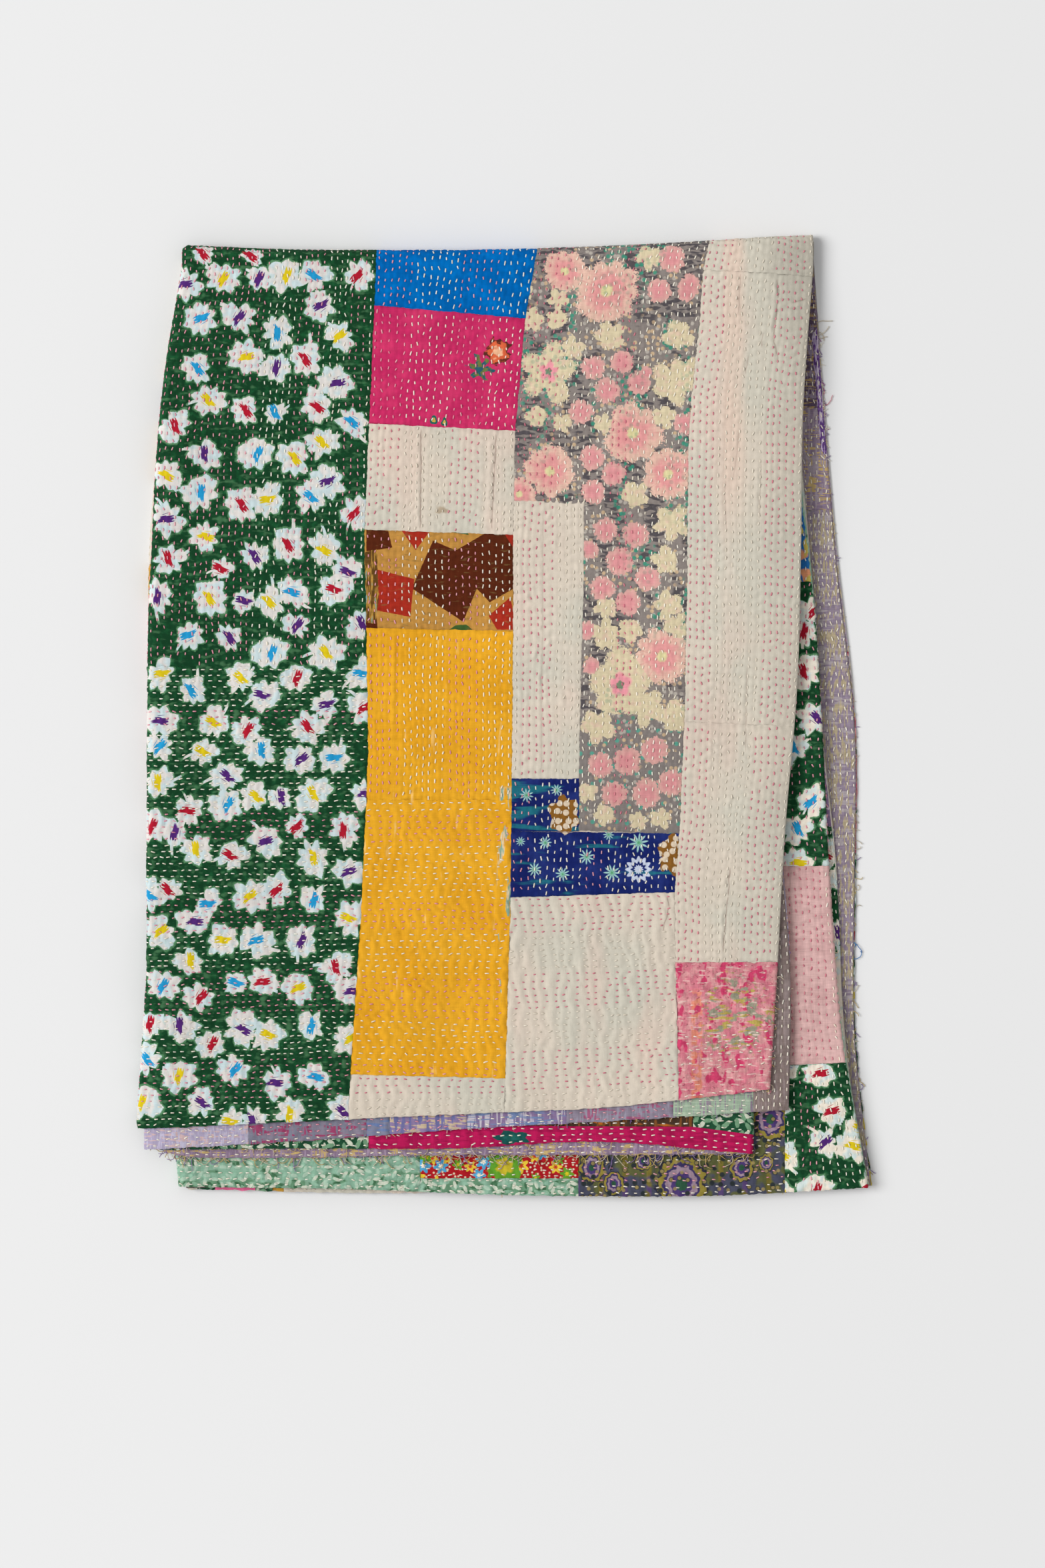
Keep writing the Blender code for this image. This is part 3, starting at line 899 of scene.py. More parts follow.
def stitch_rows(patch):
    """Row coordinate, length along and thread of each stitch of a patch."""
    rng = np.random.default_rng(patch.seed + 50)
    bands = patch.field.pink
    pink = False
    left = 0
    rows, runs, threads = [], [], []
    for k in range(patch.rows):
        if isinstance(bands, tuple):
            pink = any(start < (k + 0.5) / patch.rows < end for start, end in bands)
        elif left == 0:
            pink = rng.random() < bands
            left = rng.integers(3, 7) if pink else rng.integers(2, 5)
        left = max(0, left - 1)
        r = k + 0.5
        q = np.linspace(0.002, patch.row_length - 0.002, 4000)
        phase = patch.phase(np.full_like(q, r), q)
        first, last = math.ceil(phase[0]), math.floor(phase[-1])
        if last < first:
            continue
        wanted = np.arange(first, last + 1)
        wanted = wanted[rng.random(len(wanted)) > 0.02]
        at_q = np.interp(wanted + rng.normal(0, 0.035, len(wanted)), phase, q)
        rows.append(np.full(len(at_q), r))
        runs.append(at_q)
        threads.append(np.full(len(at_q), int(pink)))
    return np.concatenate(rows), np.concatenate(runs), np.concatenate(threads)


def stitch_mesh(patch, r, q, rng, longer):
    """Small pillow-shaped stitches, four sided with pointed ends."""
    half = STITCH_LENGTH * longer / 2 * rng.uniform(0.75, 1.2, len(r))
    slant = rng.normal(0, 0.06, len(r))
    wide = STITCH_WIDTH / 2 * rng.uniform(0.85, 1.15, len(r))
    rings = []
    stations = ((-1.0, -0.00035, 0.0), (-0.62, 0.00034, 1.0), (0.62, 0.00034, 1.0), (1.0, -0.00035, 0.0))
    centre, x, y, _ = patch.surface(r, q, 0.0)
    for place, above, _ in stations:
        rings.append(patch.surface(r + slant * place, q + half * place, above)[0])
    along_row = rings[2] - rings[1]
    along_row /= np.linalg.norm(along_row, axis=1)[:, None] + 1e-12
    up = patch.surface(r, q, 0.002)[0] - centre
    if patch.field.skin.under:
        up = np.tile([0.0, 0.0, -1.0], (len(r), 1))
    up /= np.linalg.norm(up, axis=1)[:, None] + 1e-12
    beside = np.cross(along_row, up)
    points = [rings[0]]
    for ring in rings[1:3]:
        for side, rise in ((1, 0.0), (0, 0.75), (-1, 0.0), (0, -0.6)):
            points.append(ring + beside * (side * wide)[:, None] + up * (rise * wide)[:, None])
    points.append(rings[3])
    points = np.stack(points, axis=1)
    points[..., 2] = np.maximum(points[..., 2], 0)
    quads = []
    for i in range(4):
        j = (i + 1) % 4
        quads.append((1 + i, 1 + j, 5 + j, 5 + i))
    tips = []
    for i in range(4):
        j = (i + 1) % 4
        tips += [(0, 1 + j, 1 + i), (9, 5 + i, 5 + j)]
    triangles = tips + [(a, b, c) for a, b, c, _ in quads] + [(a, c, d) for a, _, c, d in quads]
    count = len(r)
    faces = (np.arange(count)[:, None, None] * 10 + np.array(triangles)[None]).reshape(-1, 3)
    uvs = np.repeat(np.stack([x, y], axis=-1), 10, axis=0)
    return points.reshape(-1, 3), faces, uvs, {}


# Loose threads: the quarter and its edge, the pixels between which they start, how many, their lengths in
# metres, how much they curl and their colours
Fringe = namedtuple("Fringe", "key side start end count shortest longest curl colours")
FRINGES = tuple(Fringe((name, half), *values) for name, half, *values in (
    ("last", "front", "hem", 226, 1128, 190, 0.003, 0.009, 0.5, "gold cream purple"),
    ("third", "front", "hem", 240, 553, 60, 0.003, 0.012, 0.6, "gold cream"),
    ("third", "front", "hem", 553, 1125, 50, 0.002, 0.007, 0.5, "cream gold"),
    ("second", "front", "hem", 232, 560, 190, 0.006, 0.018, 0.8, "gold cream gold purple"),
    ("second", "front", "hem", 560, 1127, 380, 0.007, 0.022, 0.8, "gold cream gold purple"),
    ("second", "back", "hem", 275, 1290, 110, 0.002, 0.006, 0.6, "cream gold"),
    ("first", "front", "hem", 1020, 1150, 30, 0.002, 0.006, 0.5, "pink cream"),
    ("first", "front", "right", 1440, 1640, 70, 0.003, 0.009, 0.7, "cream gold pink"),
    ("first", "front", "hem", 530, 1010, 16, 0.002, 0.005, 0.5, "cream"),
    ("third", "front", "hem", 560, 1125, 40, 0.006, 0.016, 1.1, "cream gold"),
    ("last", "front", "right", 1330, 1690, 36, 0.002, 0.006, 0.5, "cream purple"),
    ("second", "back", "right", 880, 1330, 90, 0.002, 0.008, 0.6, "cream green"),
    ("second", "back", "right", 1330, 1600, 70, 0.003, 0.010, 0.7, "cream gold pink"),
    ("second", "back", "right", 1600, 1780, 50, 0.002, 0.007, 0.5, "cream green"),
    ("first", "back", "right", 485, 690, 260, 0.003, 0.008, 0.5, "white purple white magenta"),
    ("first", "back", "right", 480, 520, 9, 0.012, 0.026, 1.2, "cream"),
    ("first", "back", "right", 585, 625, 9, 0.014, 0.032, 1.4, "purple pink"),
    ("first", "back", "right", 700, 1130, 120, 0.002, 0.009, 0.6, "cream gold purple"),
    ("first", "back", "right", 1130, 1240, 40, 0.003, 0.009, 0.8, "green cream"),
    ("first", "back", "right", 1240, 1775, 150, 0.003, 0.012, 0.8, "gold cream purple"),
    ("first", "back", "right", 1395, 1440, 5, 0.014, 0.026, 1.3, "blue cream"),
    ("first", "back", "hem", 1180, 1306, 30, 0.002, 0.007, 0.6, "cream purple"),
))
THREAD_STEPS = 7
THREAD_RADIUS = 0.00034


def fringe_paths(fringe, rng):
    """Middle lines of one fringe's threads, from inside the edge outwards and down."""
    count = fringe.count
    run = rng.uniform(fringe.start, fringe.end, count)
    length = rng.uniform(fringe.shortest, fringe.longest, count) * rng.uniform(0.5, 1, count)
    quarter = QUARTERS[fringe.key]
    if fringe.side == "hem":
        x = plan((run, 0))[0]
        left = side_x(fringe.key, "left", quarter.hem.middle)
        right = side_x(fringe.key, "right", quarter.hem.middle)
        x = np.clip(x, left + 0.001, right - 0.001)
        y = hem_y(fringe.key, (x - left) / (right - left))
        heading = np.full(count, -math.pi / 2)
    else:
        y = plan((0, run))[1]
        x = side_x(fringe.key, fringe.side, y)
        heading = np.full(count, 0.0)
    heading = heading + rng.normal(0, 0.35, count)
    middle = height(fringe.key, x, y)
    lowest = np.maximum(middle - 0.0011, 0) if fringe.key != SURFACE else 0 * x
    z = middle + rng.uniform(-0.2, 0.7, count) * HALF
    bend = rng.normal(0, fringe.curl, count)
    step = length / THREAD_STEPS
    x = x - 0.0015 * np.cos(heading)
    y = y - 0.0015 * np.sin(heading)
    path = [np.stack([x, y, z], axis=-1)]
    for number in range(THREAD_STEPS):
        heading = heading + bend + rng.normal(0, 0.35, count)
        x = x + step * np.cos(heading)
        y = y + step * np.sin(heading)
        z = np.maximum(z - 0.0004 * rng.uniform(-0.2, 1, count), lowest + 2 * THREAD_RADIUS)
        path.append(np.stack([x, y, z], axis=-1))
    return np.stack(path, axis=1)


def tubes(paths):
    """Three-sided threads round middle lines, closed at both ends."""
    along_it = np.gradient(paths, axis=1)
    along_it /= np.linalg.norm(along_it, axis=-1)[..., None] + 1e-12
    beside = np.cross(along_it, [0, 0, 1.0])
    beside /= np.linalg.norm(beside, axis=-1)[..., None] + 1e-12
    above = np.cross(beside, along_it)
    sides = [
        paths + THREAD_RADIUS * (math.cos(turn) * beside + math.sin(turn) * above)
        for turn in (math.pi / 2, math.pi * 7 / 6, math.pi * 11 / 6)
    ]
    points = np.stack(sides, axis=2)
    count, stations = points.shape[:2]
    faces = [(0, 2, 1), tuple((stations - 1) * 3 + k for k in (0, 1, 2))]
    for station in range(stations - 1):
        for k in range(3):
            a, b = station * 3 + k, station * 3 + (k + 1) % 3
            faces += [(a, b, b + 3), (a, b + 3, a + 3)]
    size = stations * 3
    faces = (np.arange(count)[:, None, None] * size + np.array(faces)[None]).reshape(-1, 3)
    return points.reshape(-1, 3), faces, points.reshape(-1, 3)[:, :2], {}


def make_loose_threads():
    rng = np.random.default_rng(5)
    bag = Bag()
    for fringe in FRINGES:
        paths = fringe_paths(fringe, rng)
        colours = fringe.colours.split()
        for number, colour in enumerate(colours):
            bag.add(*tubes(paths[number :: len(colours)]), MATERIALS[f"{colour}_thread"])
    return bag.make("loose_threads")


# Materials


class Term:
    """A socket of a material's node tree that can be added, multiplied and compared."""

    def __init__(self, paint, socket):
        self.paint = paint
        self.socket = socket

    def __add__(self, other):
        return self.paint.math("ADD", self, other)

    __radd__ = __add__

    def __sub__(self, other):
        return self.paint.math("SUBTRACT", self, other)

    def __rsub__(self, other):
        return self.paint.math("SUBTRACT", other, self)

    def __mul__(self, other):
        return self.paint.math("MULTIPLY", self, other)

    __rmul__ = __mul__

    def __truediv__(self, other):
        return self.paint.math("DIVIDE", self, other)

    def __gt__(self, other):
        return self.paint.math("GREATER_THAN", self, other)

    def __lt__(self, other):
        return self.paint.math("LESS_THAN", self, other)


def srgb(red, green, blue):
    """A linear colour from the 0 to 255 values seen in a picture."""

    def linear(value):
        value /= 255
        return value / 12.92 if value <= 0.04045 else ((value + 0.055) / 1.055) ** 2.4

    return (linear(red), linear(green), linear(blue), 1.0)


# Painted shade: the cloth is painted a little darker towards the hems, where the light falls off
PAINTED_SHADE_FROM, PAINTED_SHADE_TO, PAINTED_SHADE = 0.12, -0.16, 0.045


class Paint:
    """One cloth's procedural material."""

    def __init__(self, name):
        self.material = bpy.data.materials.new(name)
        self.material.use_nodes = True
        self.tree = self.material.node_tree
        self.shader = self.tree.nodes["Principled BSDF"]
        uv = self.tree.nodes.new("ShaderNodeUVMap")
        uv.uv_map = "cloth"
        self.u, self.v = self.split(Term(self, uv.outputs["UV"]))[:2]
        self.rise = self.attribute("rise", "Fac")  # how high the cloth stands, in millimetres

    def connect(self, value, socket):
        if isinstance(value, Term):
            self.tree.links.new(value.socket, socket)
        else:
            socket.default_value = value

    def attribute(self, name, output):
        node = self.tree.nodes.new("ShaderNodeAttribute")
        node.attribute_name = name
        return Term(self, node.outputs[output])

    def motif(self):
        """Place relative to the nearest motif's middle, its radius, turn, kind and a random number."""
        centre_x, centre_y, radius = self.split(self.attribute("motif", "Vector"))
        turn, kind, chance = self.split(self.attribute("look", "Vector"))
        return self.u - centre_x, self.v - centre_y, radius, turn, kind, chance

    def turned(self, x, y, turn):
        cosine = self.math("COSINE", turn)
        sine = self.math("SINE", turn)
        return x * cosine + y * sine, y * cosine - x * sine

    def outline(self, x, y, radius, turn, petals, depth, pointed, uneven, tail=None):
        """Distance inside an uneven petalled outline: 1 at the middle, 0 at the rim."""
        distance = self.math("SQRT", x * x + y * y)
        angle = self.math("ARCTAN2", y, x)
        if pointed:
            wave = self.math("PINGPONG", angle * (petals / (2 * math.pi)), 0.5) * 2.0
        else:
            wave = 1.0 - self.math("ABSOLUTE", self.math("COSINE", angle * (petals / 2)))
        lumps = self.noise(1.0, 1.0, place=(x / distance * 0.9 + turn * 5.0, y / distance * 0.9 + turn * 3.0))
        spikes = self.noise(1.0, 0.0, place=(x / distance * 1.7 - turn * 4.0, y / distance * 1.7))
        reach = 1.0 - wave * depth * (spikes * 2.0) + (lumps - 0.5) * (2 * uneven)
        if tail is not None:
            bend = self.math("ABSOLUTE", angle - 0.9 - distance * 22.0)
            reach = reach + self.step(bend, 0.14, 0.04) * tail
        return 1.0 - distance / (radius * reach)

    def math(self, operation, *values):
        node = self.tree.nodes.new("ShaderNodeMath")
        node.operation = operation
        for value, socket in zip(values, node.inputs):
            self.connect(value, socket)
        return Term(self, node.outputs[0])

    def split(self, vector):
        node = self.tree.nodes.new("ShaderNodeSeparateXYZ")
        self.connect(vector, node.inputs[0])
        return [Term(self, output) for output in node.outputs]

    def vector(self, x, y, z=0.0):
        node = self.tree.nodes.new("ShaderNodeCombineXYZ")
        for value, socket in zip((x, y, z), node.inputs):
            self.connect(value, socket)
        return Term(self, node.outputs[0])

    def step(self, value, low, high):
        """0 below low and 1 above high, smooth between; low may be above high."""
        node = self.tree.nodes.new("ShaderNodeMapRange")
        node.interpolation_type = "SMOOTHSTEP"
        self.connect(value, node.inputs["Value"])
        self.connect(low, node.inputs["From Min"])
        self.connect(high, node.inputs["From Max"])
        return Term(self, node.outputs["Result"])

    def mix(self, share, first, second):
        node = self.tree.nodes.new("ShaderNodeMix")
        node.data_type = "RGBA"
        self.connect(share, node.inputs[0])
        self.connect(first, node.inputs[6])
        self.connect(second, node.inputs[7])
        return Term(self, node.outputs[2])

    def mixed(self, share, first, second):
        """One of two numbers, or between them."""
        return first + (second - first) * share

    def shade(self, colour, factor):
        """A colour made lighter or darker by a number."""
        node = self.tree.nodes.new("ShaderNodeVectorMath")
        node.operation = "SCALE"
        self.connect(colour, node.inputs[0])
        self.connect(factor, node.inputs["Scale"])
        return Term(self, node.outputs[0])

    def noise(self, size, detail=2.0, stretch=(1, 1), offset=0.0, rough=0.5, place=None):
        """Noise from 0 to 1 whose lumps are a size apart."""
        node = self.tree.nodes.new("ShaderNodeTexNoise")
        node.noise_dimensions = "2D"
        x, y = place or (self.u * stretch[0] + offset, self.v * stretch[1] + offset * 0.7)
        self.connect(self.vector(x, y), node.inputs["Vector"])
        node.inputs["Scale"].default_value = 1 / size
        node.inputs["Detail"].default_value = detail
        node.inputs["Roughness"].default_value = rough
        return Term(self, node.outputs["Fac"])

    def cells(self, size, jitter=0.8, offset=(0.0, 0.0)):
        """Scattered points: place relative to the nearest, its distance and three random numbers."""
        node = self.tree.nodes.new("ShaderNodeTexVoronoi")
        node.voronoi_dimensions = "2D"
        x = self.u + offset[0]
        y = self.v + offset[1]
        self.connect(self.vector(x, y), node.inputs["Vector"])
        node.inputs["Scale"].default_value = 1 / size
        node.inputs["Randomness"].default_value = jitter
        px, py, _ = self.split(Term(self, node.outputs["Position"]))
        split = self.tree.nodes.new("ShaderNodeSeparateColor")
        self.tree.links.new(node.outputs["Color"], split.inputs[0])
        chances = [Term(self, output) for output in split.outputs]
        return x - px, y - py, Term(self, node.outputs["Distance"]) * size, chances

    def flower(self, x, y, radius, petals, depth, turn, ragged=0.0):
        """Distance inside a petalled outline, as a share of its radius: 1 at the middle, 0 at the rim."""
        distance = self.math("SQRT", x * x + y * y)
        angle = self.math("ARCTAN2", y, x) + turn
        wave = self.math("COSINE", angle * float(petals))
        reach = radius * (1.0 - depth * (0.5 - 0.5 * wave))
        if ragged:
            reach = reach + radius * ragged * (self.noise(0.004, 1.0) - 0.5) * 2.0
        return 1.0 - distance / reach

    def blossoms(self, size, radius, petals, depth, chance, jitter, offset):
        """How far inside scattered flowers of uneven size, of which a share is shown."""
        x, y, _, (one, two, three) = self.cells(size, jitter, offset)
        inside = self.flower(x, y, radius * (0.75 + 0.5 * one), petals, depth, two * 6.28)
        shown = three < chance
        return inside * shown - (1.0 - shown)

    def polygon(self, pixels):
        """How far inside a convex outline of photograph pixels, negative outside."""
        points = [plan(pixel) for pixel in pixels]
        inside = None
        for (x0, y0), (x1, y1) in zip(points, points[1:] + points[:1]):
            length = math.hypot(x1 - x0, y1 - y0)
            across, up = (y1 - y0) / length, (x0 - x1) / length
            side = self.math("MULTIPLY_ADD", self.u, across, self.v * up - (x0 * across + y0 * up))
            inside = side if inside is None else self.math("MINIMUM", inside, side)
        return inside

    def spots(self, colour, spots):
        """Single printed flowers and leaves: pixel, radius, petals, their depth, width and colours."""
        for (column, row), radius, petals, depth, wide, outer_colour, inner_colour in spots:
            centre_x, centre_y = plan((column, row))
            x, y = (self.u - centre_x) / wide, self.v - centre_y
            inside = self.flower(x, y, radius, petals, depth, 0.6, 0.2)
            shape = self.mix(self.step(inside, 0.45, 0.6), outer_colour, inner_colour)
            colour = self.mix(self.step(inside, 0.0, 0.08), colour, shape)
        return colour

    def finish(self, colour, weave=0.10, bump=0.00025, fade=0.10, sheen=0.03, worn_ridges=0.10):
        """The weave, the fading, the painted shade of the puckers and towards the hems, and the bump that all
        the cloths share.
        """
        warp = self.noise(0.0009, 1.0, (1.0, 0.09), 3.0)
        weft = self.noise(0.0009, 1.0, (0.09, 1.0), 5.0)
        worn = self.noise(0.045, 3.0, (1, 1), 9.0)
        thread = (warp + weft) * 0.5
        # Painted shade, partly wear: raised cloth is painted lighter and sunken cloth (valleys, seams,
        # creases) darker, by its rise
        tone = 1.0 + (thread - 0.5) * (weave * 4) + (worn - 0.5) * (fade * 2) + self.rise * worn_ridges
        # Painted shade: the colour is a little darker towards the hems
        tone = tone - self.step(self.v, PAINTED_SHADE_FROM, PAINTED_SHADE_TO) * PAINTED_SHADE
        colour = self.shade(colour, tone)
        self.connect(colour, self.shader.inputs["Base Color"])
        self.shader.inputs["Roughness"].default_value = 0.88
        self.shader.inputs["Sheen Weight"].default_value = sheen
        self.shader.inputs["Sheen Roughness"].default_value = 0.5
        self.shader.inputs["Specular IOR Level"].default_value = 0.04
        node = self.tree.nodes.new("ShaderNodeBump")
        node.inputs["Strength"].default_value = 0.8
        node.inputs["Distance"].default_value = bump
        crumple = self.noise(0.0035, 2.0, (1, 1), 13.0)
        self.connect(thread * 0.5 + crumple, node.inputs["Height"])
        self.tree.links.new(node.outputs["Normal"], self.shader.inputs["Normal"])
        return self.material


GREEN_INK = srgb(20, 62, 36)
GREEN_PALE = srgb(84, 132, 92)
WHITE_PETAL = srgb(215, 210, 205)
CENTRE_COLOURS = (srgb(80, 40, 112), srgb(36, 148, 200), srgb(214, 190, 28), srgb(170, 26, 46))


def daisy_material(name="daisy", tint=WHITE_PETAL):
    paint = Paint(name)
    ground = paint.mix(paint.step(paint.noise(0.006, 3.0), 0.45, 0.8), GREEN_INK, srgb(26, 84, 48))
    # Pale green streaks on the ground, partly print and partly a painted highlight that comes more on raised
    # cloth, by its rise
    streaks = paint.step(paint.noise(0.004, 3.0, (0.35, 1.0), 17.0) + paint.rise * 0.22, 0.56, 0.82)
    ground = paint.mix(streaks * 0.5, ground, srgb(86, 132, 92))
    x, y, radius, turn, kind, chance = paint.motif()
    across, length = paint.turned(x, y, turn)
    length = length * 0.86
    tail = (chance > 0.45) * 0.55
    inside = paint.outline(across, length, radius * 1.01, turn, 8.0, 0.26, True, 0.42, tail)
    inside = inside + (paint.noise(0.0015, 1.0) - 0.5) * 0.10
    colour = paint.mix(paint.step(inside, -0.14, -0.03), ground, GREEN_PALE)
    wash = paint.noise(0.010, 2.0, (1, 1), 21.0) + (1.0 - inside) * 0.12
    white = paint.mix(paint.step(wash, 0.50, 0.72) * 0.55, tint, srgb(176, 212, 220))
    streaks = paint.noise(0.003, 2.0, (1.0, 0.4), 25.0)
    white = paint.mix(paint.step(streaks, 0.62, 0.72) * 0.4, white, srgb(160, 196, 184))
    colour = paint.mix(paint.step(inside, 0.0, 0.05), colour, white)
    # The centre: a few brush strokes side by side
    across, length = paint.turned(x + (chance - 0.5) * 0.004, y, turn * 1.7 + 0.6)
    brush = 1.0 - paint.math("SQRT", across * across / 0.0000105 + length * length / 0.000034)
    stroke = paint.noise(0.0012, 0.0, place=(across, length * 0.12))
    brush = paint.step(brush + (stroke - 0.5) * 1.9, 0.0, 0.14)
    centre = CENTRE_COLOURS[0]
    for number, other in enumerate(CENTRE_COLOURS[1:]):
        centre = paint.mix(kind > (number + 0.5), centre, other)
    colour = paint.mix(brush, colour, centre)
    return paint.finish(colour, weave=0.06, worn_ridges=0.12)


def plain_material(name, colours, **finish):
    paint = Paint(name)
    tone = paint.mix(paint.step(paint.noise(0.02, 3.0), 0.4, 0.7), *tones(colours))
    return paint.finish(tone, **finish)


MAGENTA_LEAVES = (
    ((651, 631), 0.0045, 3, 0.3, 0.8, srgb(30, 96, 88), srgb(200, 168, 72)),
    ((667, 634), 0.0042, 3, 0.3, 0.7, srgb(34, 100, 84), srgb(206, 176, 84)),
)


def magenta_material():
    paint = Paint("magenta")
    ground = paint.mix(paint.step(paint.noise(0.02, 3.0), 0.4, 0.7), srgb(192, 42, 94), srgb(204, 54, 102))
    # One small rose and a sprig beside it
    rose_x, rose_y = plan((747, 529))
    x, y = paint.u - rose_x, paint.v - rose_y
    rose = paint.flower(x, y, 0.0120, 5, 0.20, 0.6, 0.30)
    mottled = paint.noise(0.004, 2.0, (1, 1), 17.0)
    petals = paint.step(rose + (mottled - 0.5) * 0.9, 0.12, 0.30)
    petals = paint.mix(petals, srgb(88, 44, 34), srgb(214, 98, 62))
    petals = paint.mix(paint.step(rose + (mottled - 0.5) * 0.6, 0.55, 0.72), petals, srgb(232, 178, 140))
    colour = paint.mix(paint.step(rose, 0.0, 0.08), ground, petals)
    sprig_x, sprig_y = plan((721, 553))
    x, y = paint.u - sprig_x, paint.v - sprig_y
    sprig = paint.flower(x, y, 0.0115, 6, 0.60, 0.2, 0.45)
    leaf = paint.mix(paint.step(mottled, 0.45, 0.55), srgb(44, 92, 104), srgb(104, 116, 62))
    colour = paint.mix(paint.step(sprig, 0.0, 0.1), colour, leaf)
    colour = paint.spots(colour, MAGENTA_LEAVES)
    return paint.finish(colour, weave=0.08, worn_ridges=0.16)


def cream_material():
    paint = Paint("cream")
    tone = paint.mix(paint.step(paint.noise(0.09, 3.0), 0.35, 0.65), srgb(212, 200, 184), srgb(202, 197, 182))
    pinkish = paint.step(paint.noise(0.06, 2.0, (1.6, 0.5), 40.0), 0.5, 0.75) * 0.6
    tone = paint.mix(pinkish, tone, srgb(217, 195, 180))
    fold_x = plan((1100, 0))[0]
    band = paint.step(paint.math("ABSOLUTE", paint.u - fold_x), 0.013, 0.004)
    tone = paint.mix(band * paint.step(paint.v, 0.10, 0.24) * 0.6, tone, srgb(222, 195, 177))
    greyer = paint.step(paint.u, plan((1060, 0))[0], plan((1200, 0))[0])
    tone = paint.mix(greyer * 0.55, tone, srgb(196, 189, 174))
    stain_x, stain_y = plan((662, 766))
    x, y = paint.u - stain_x, paint.v - stain_y
    stain = paint.flower(x, y * 1.8, 0.009, 3, 0.4, 0.4, 0.5)
    tone = paint.mix(paint.step(stain, 0.0, 0.6) * 0.55, tone, srgb(150, 120, 80))
    # Painted shadow: a thin dark line along each crease of the top quarter, where the crease lies in shade
    for crease in CREASES:
        x0, y0 = plan((crease.x0, crease.y0))
        x1, y1 = plan((crease.x1, crease.y1))
        length = math.hypot(x1 - x0, y1 - y0)
        run_x, run_y = (x1 - x0) / length, (y1 - y0) / length
        off = (paint.u - x0) * run_y - (paint.v - y0) * run_x
        run = (paint.u - x0) * run_x + (paint.v - y0) * run_y
        off = paint.math("ABSOLUTE", off + (paint.noise(0.006, 1.0) - 0.5) * 0.002)
        line = paint.step(off, 0.0007, 0.0002) * paint.step(run, 0.0, 0.003)
        line = line * paint.step(run, length, length - 0.003)
        tone = paint.mix(line * min(0.6, crease.depth * 1000), tone, srgb(152, 128, 116))
    return paint.finish(tone, weave=0.03, fade=0.03)


ANGULAR_SHAPES = (
    ("brown", ((550, 793), (583, 797), (589, 822), (550, 828))),
    ("red", ((598, 790), (651, 790), (624, 826))),
    ("brown", ((651, 809), (684, 826), (731, 846), (715, 885), (698, 935), (618, 883))),
    ("brown", ((684, 826), (727, 801), (775, 800), (775, 881), (735, 904), (715, 883))),
    ("red", ((564, 854), (622, 869), (616, 926), (565, 916))),
    ("red", ((756, 800), (775, 800), (775, 830))),
    ("red", ((733, 924), (766, 896), (775, 945), (746, 945))),
    ("brown", ((545, 890), (565, 916), (567, 945), (545, 945))),
    ("leaf", ((672, 946), (684, 938), (700, 937), (710, 946))),
    ("leaf", ((676, 799), (696, 793), (704, 803))),
)
ANGULAR_COLOURS = {"brown": srgb(84, 36, 18), "red": srgb(160, 44, 30), "leaf": srgb(62, 92, 44)}
TORN_STRIP = ((548, 828), (566, 824), (569, 900), (564, 936), (548, 934))


def angular_material():
    paint = Paint("angular")
    colour = srgb(184, 134, 64)
    ragged = (paint.noise(0.003, 2.0) - 0.5) * 0.0006
    for shade, pixels in ANGULAR_SHAPES:
        shape = paint.step(paint.polygon(pixels) + ragged, -0.0001, 0.0002)
        colour = paint.mix(shape, colour, ANGULAR_COLOURS[shade])
    torn = paint.step(paint.polygon(TORN_STRIP) + ragged * 3.0, 0.0, 0.0004)
    fibres = paint.noise(0.0022, 2.0, (1.0, 0.12), 29.0)
    loose = paint.mix(paint.step(fibres, 0.46, 0.54), srgb(96, 66, 30), srgb(178, 136, 62))
    loose = paint.mix(paint.step(fibres, 0.62, 0.66), loose, srgb(108, 150, 150))
    colour = paint.mix(torn, colour, loose)
    grain = paint.noise(0.003, 3.0, (0.3, 1.0), 23.0)
    colour = paint.mix(paint.step(grain, 0.62, 0.72) * 0.4, colour, srgb(120, 100, 60))
    return paint.finish(colour, weave=0.10, fade=0.12, worn_ridges=0.22)


TORN_YELLOW = ((746, 1178), (775, 1178), (775, 1505), (740, 1505))


def yellow_material():
    paint = Paint("yellow")
    colour = paint.mix(paint.step(paint.noise(0.05, 2.0), 0.4, 0.7), srgb(228, 166, 40), srgb(222, 158, 34))
    pale = paint.step(paint.noise(0.010, 3.0, (1.6, 0.25), 27.0), 0.68, 0.80) * 0.5
    colour = paint.mix(pale, colour, srgb(244, 206, 140))
    lower = paint.step(paint.v, plan((0, 1290))[1], plan((0, 1400))[1])
    patchy = paint.noise(0.011, 3.0, (1.6, 0.35), 35.0) - 0.55 - lower * 0.06
    torn = paint.step(paint.polygon(TORN_YELLOW), 0.0, 0.004) * paint.step(patchy, 0.0, 0.03)
    fibres = paint.noise(0.0030, 2.0, (1.0, 0.16), 39.0)
    under = paint.mix(paint.step(fibres, 0.45, 0.55), srgb(104, 164, 156), srgb(216, 204, 176))
    under = paint.mix(paint.step(fibres, 0.58, 0.64), under, srgb(216, 156, 54))
    colour = paint.mix(torn * 0.85, colour, under)
    return paint.finish(colour, weave=0.08, fade=0.05, worn_ridges=0.13)


